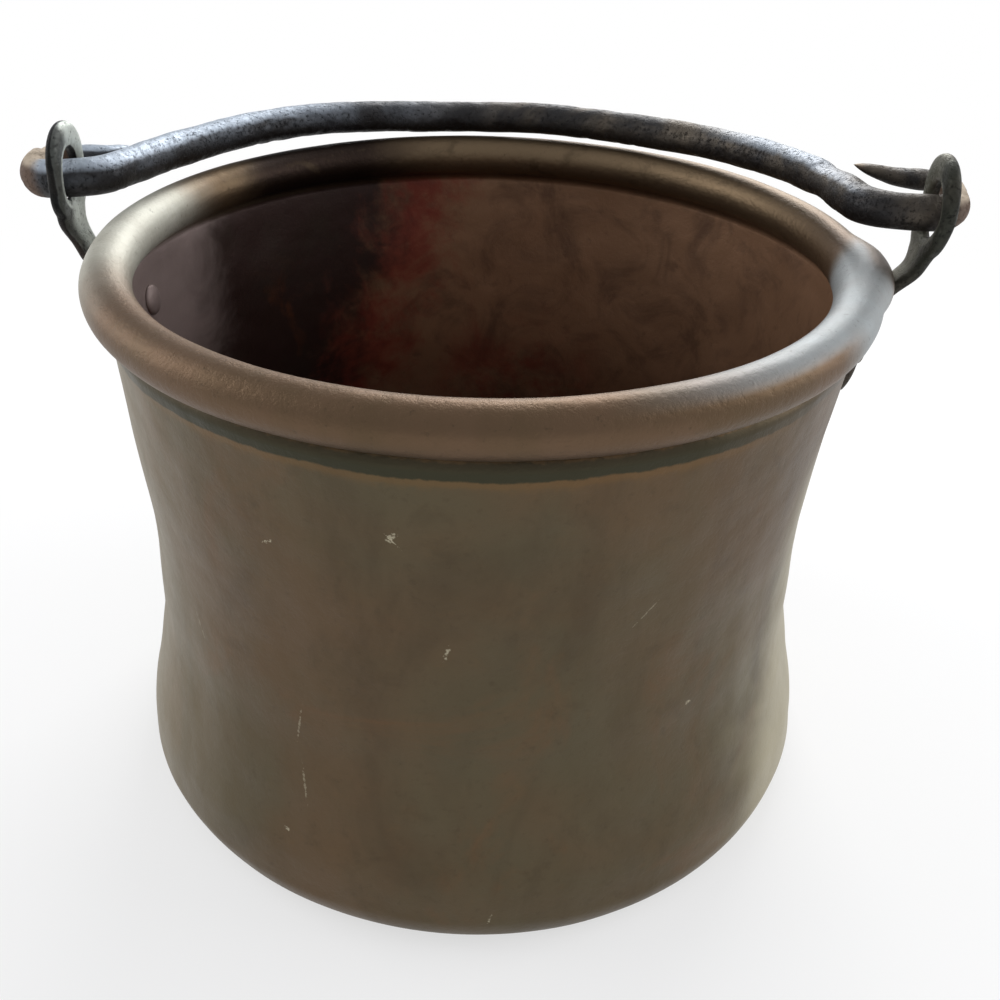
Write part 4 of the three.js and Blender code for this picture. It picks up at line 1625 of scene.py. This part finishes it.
    def _forged(self, place: Vector, wide: Vector, tall: Vector, stock: Stock,
                close: float) -> np.ndarray:
        """Gives one ring of the bar with its hammer marks and pits.

        Args:
            place: the middle of the bar.
            wide: the direction of its width.
            tall: the direction of its height.
            stock: its size there.
            close: 1 along the bar, less where an end is drawn to a point.

        Returns:
            The ring's points.
        """
        lump = (0.975 + 0.02 * ripple(place, 38.0, 6.0)) * close
        ring = section(place, wide, tall, stock.wide * lump, stock.tall * lump,
                       stock.squareness, self.sides, stock.chamfer)
        for number, point in enumerate(ring):
            spot = Vector(point)
            pit = max(ripple(spot, 150.0, 2.0) - 0.15, 0.0) * 0.9 * MM
            hammer = (0.4 - ripple(spot, 62.0, 9.0)) * 0.45 * MM
            inward = (place - spot).normalized()
            ring[number] = spot + inward * max(pit + hammer, 0.0) * close
        return ring

    def build(self) -> bpy.types.Object:
        """Forges the bail as one bar and lays it back over the rim.

        Returns:
            The bail.
        """
        left = self._half(LEFT_HOOK)
        right = self._half(RIGHT_HOOK)
        sizes = list(reversed(self._stock(left, LEFT_HOOK)))[:-1] + self._stock(right, RIGHT_HOOK)
        mirrored = [Vector((-place.x, place.y, place.z)) for place in left]
        points = list(reversed(mirrored))[:-1] + right
        up = Vector((0, 0, 1))
        rings = []
        rust = []
        last = len(points) - 1
        for index, place in enumerate(points):
            run = (points[min(index + 1, last)] - points[max(index - 1, 0)]).normalized()
            tall = up.lerp(self.hook_up, sizes[index].hook)
            tall = (tall - run * tall.dot(run)).normalized()
            wide = tall.cross(run).normalized()
            ends = min(index, last - index)
            close = math.sqrt(1 - (1 - min(ends / 5, 1.0)) ** 2) * 0.9 + 0.1
            rings.append(self._forged(place, wide, tall, sizes[index], close))
            rust += [sizes[index].rust] * self.sides
        mesh_points, faces = skin(np.array(rings))
        made = mesh_object("bail_forged", mesh_points, faces)
        paint(made, "rust", rust + [rust[0], rust[-1]])
        tilt = Matrix.Rotation(-self.rest_tilt(), 4, "X")
        lean = Matrix.Rotation(-math.atan2(self.pivot.axis.z, self.pivot.axis.x), 4, "Y")
        made.data.transform(Matrix.Translation(self.pivot.centre) @ lean @ tilt)
        turn_outwards(made)
        dress(made, self.finish.material(Coat.BAIL.value))
        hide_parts("bail")
        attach(made, "bail")
        return made


@dataclass
class HiddenHoop:
    """The iron hoop inside the roll, kept as the solid and given its own iron."""

    finish: ForgedIron = field(default_factory=lambda: ForgedIron(rust_share=0.0))

    def build(self) -> bpy.types.Object:
        """Dresses the hoop's solid.

        Returns:
            The hoop.
        """
        hoop = frame["nodes"]["rim_hoop"]
        dress(hoop, self.finish.material("hoop_iron"))
        return hoop


@dataclass
class Studio:
    """The floor, the lamps and the camera, where the photographer stood."""

    stand: Vector = field(default_factory=lambda: Vector((63.25, -532.1, 499.0)) * MM)
    heading: float = -5.54
    pitch: float = 33.17
    roll: float = 1.68
    lens: float = 37.7
    sensor: float = 36.0
    floor_size: float = 9.0
    floor_drop: float = 0.2 * MM
    room: Colour = (0.60, 0.61, 0.63)
    backdrop: Colour = (1.0, 1.0, 1.0)

    def build(self) -> None:
        """Sets up everything around the kettle."""
        self._floor()
        self._world()
        self._lamps()
        self._camera()

    def _floor(self) -> None:
        """Lays the floor under the base."""
        half = self.floor_size / 2
        corners = [(-half, -half, 0.0), (half, -half, 0.0), (half, half, 0.0), (-half, half, 0.0)]
        floor = mesh_object("studio_floor", np.array(corners), [(0, 1, 2, 3)])
        floor.location.z = -self.floor_drop
        dress(floor, StudioWhite().material("studio_white"))

    def _world(self) -> None:
        """Fills the room with even light, white where it is seen."""
        world = bpy.data.worlds.new("studio_world")
        bpy.context.scene.world = world
        tree = Tree(world)
        path = tree.node("ShaderNodeLightPath", {}, {})
        seen = (path.value("Is Camera Ray") + path.value("Is Transmission Ray")).bounded()
        dim, white = (
            tree.node("ShaderNodeBackground", {}, {"Color": colour, "Strength": 1.0}).out()
            for colour in (self.room, self.backdrop)
        )
        both = tree.node("ShaderNodeMixShader", {}, {0: seen, 1: dim, 2: white})
        tree.node("ShaderNodeOutputWorld", {}, {"Surface": both.out()})

    def _lamp(self, name: str, place: tuple[float, float, float], size: float, watts: float,
              target: tuple[float, float, float] = (0.0, 0.0, 0.25)) -> None:
        """Hangs one soft lamp.

        Args:
            name: its name.
            place: where it hangs.
            size: the side of its square.
            watts: its power.
            target: what it faces.
        """
        light = bpy.data.lights.new(name, "AREA")
        light.shape = "SQUARE"
        light.size = size
        light.energy = watts
        lamp = bpy.data.objects.new(name, light)
        lamp.location = place
        facing = Vector(target) - Vector(place)
        lamp.rotation_euler = facing.to_track_quat("-Z", "Y").to_euler()
        bpy.context.scene.collection.objects.link(lamp)

    def _lamps(self) -> None:
        """Hangs the soft lamps: a window behind, one at each side."""
        self._lamp("window_behind", (0.2, 1.6, 1.25), 1.25, 28.0)
        self._lamp("window_left", (-1.8, 0.1, 1.0), 1.2, 12.0)
        self._lamp("window_right", (1.9, 0.3, 1.0), 1.2, 14.0)

    def _camera(self) -> None:
        """Stands the camera where the photograph was taken from."""
        camera = bpy.data.cameras.new("photo_camera")
        camera.lens = self.lens
        camera.sensor_width = self.sensor
        camera.clip_start = 0.01
        holder = bpy.data.objects.new("photo_camera", camera)
        heading = math.radians(self.heading)
        pitch = math.radians(self.pitch)
        roll = math.radians(self.roll)
        ahead = Vector((math.sin(heading), math.cos(heading), 0.0))
        forward = ahead * math.cos(pitch) - Vector((0, 0, math.sin(pitch)))
        level = Vector((math.cos(heading), -math.sin(heading), 0.0))
        upright = level.cross(forward)
        right = level * math.cos(roll) + upright * math.sin(roll)
        up = upright * math.cos(roll) - level * math.sin(roll)
        turn = Matrix((right, up, -forward)).transposed().to_4x4()
        holder.matrix_world = Matrix.Translation(self.stand) @ turn
        bpy.context.scene.collection.objects.link(holder)
        bpy.context.scene.camera = holder


def main() -> None:
    """Builds the kettle piece by piece and sets up the studio."""
    logging.basicConfig(level=logging.INFO, format="%(message)s")
    shell = KettleShell()
    pivot = PivotLine()
    makers: list[tuple[str, Callable[[], object]]] = [
        ("kettle body", shell.build),
        ("rim hoop", HiddenHoop().build),
        ("left ear", ForgedEar(Hand.LEFT, shell, pivot).build),
        ("right ear", ForgedEar(Hand.RIGHT, shell, pivot).build),
        ("left rivet", DomedRivet(Hand.LEFT, shell).build),
        ("right rivet", DomedRivet(Hand.RIGHT, shell).build),
        ("bail", HookedBail(shell, pivot).build),
    ]
    for name, make in makers:
        made = make()
        LOG.info("%s: %d faces", name, len(made.data.polygons))
    Studio().build()
    bpy.context.scene.view_settings.view_transform = "Standard"


if __name__ == "__main__":
    main()
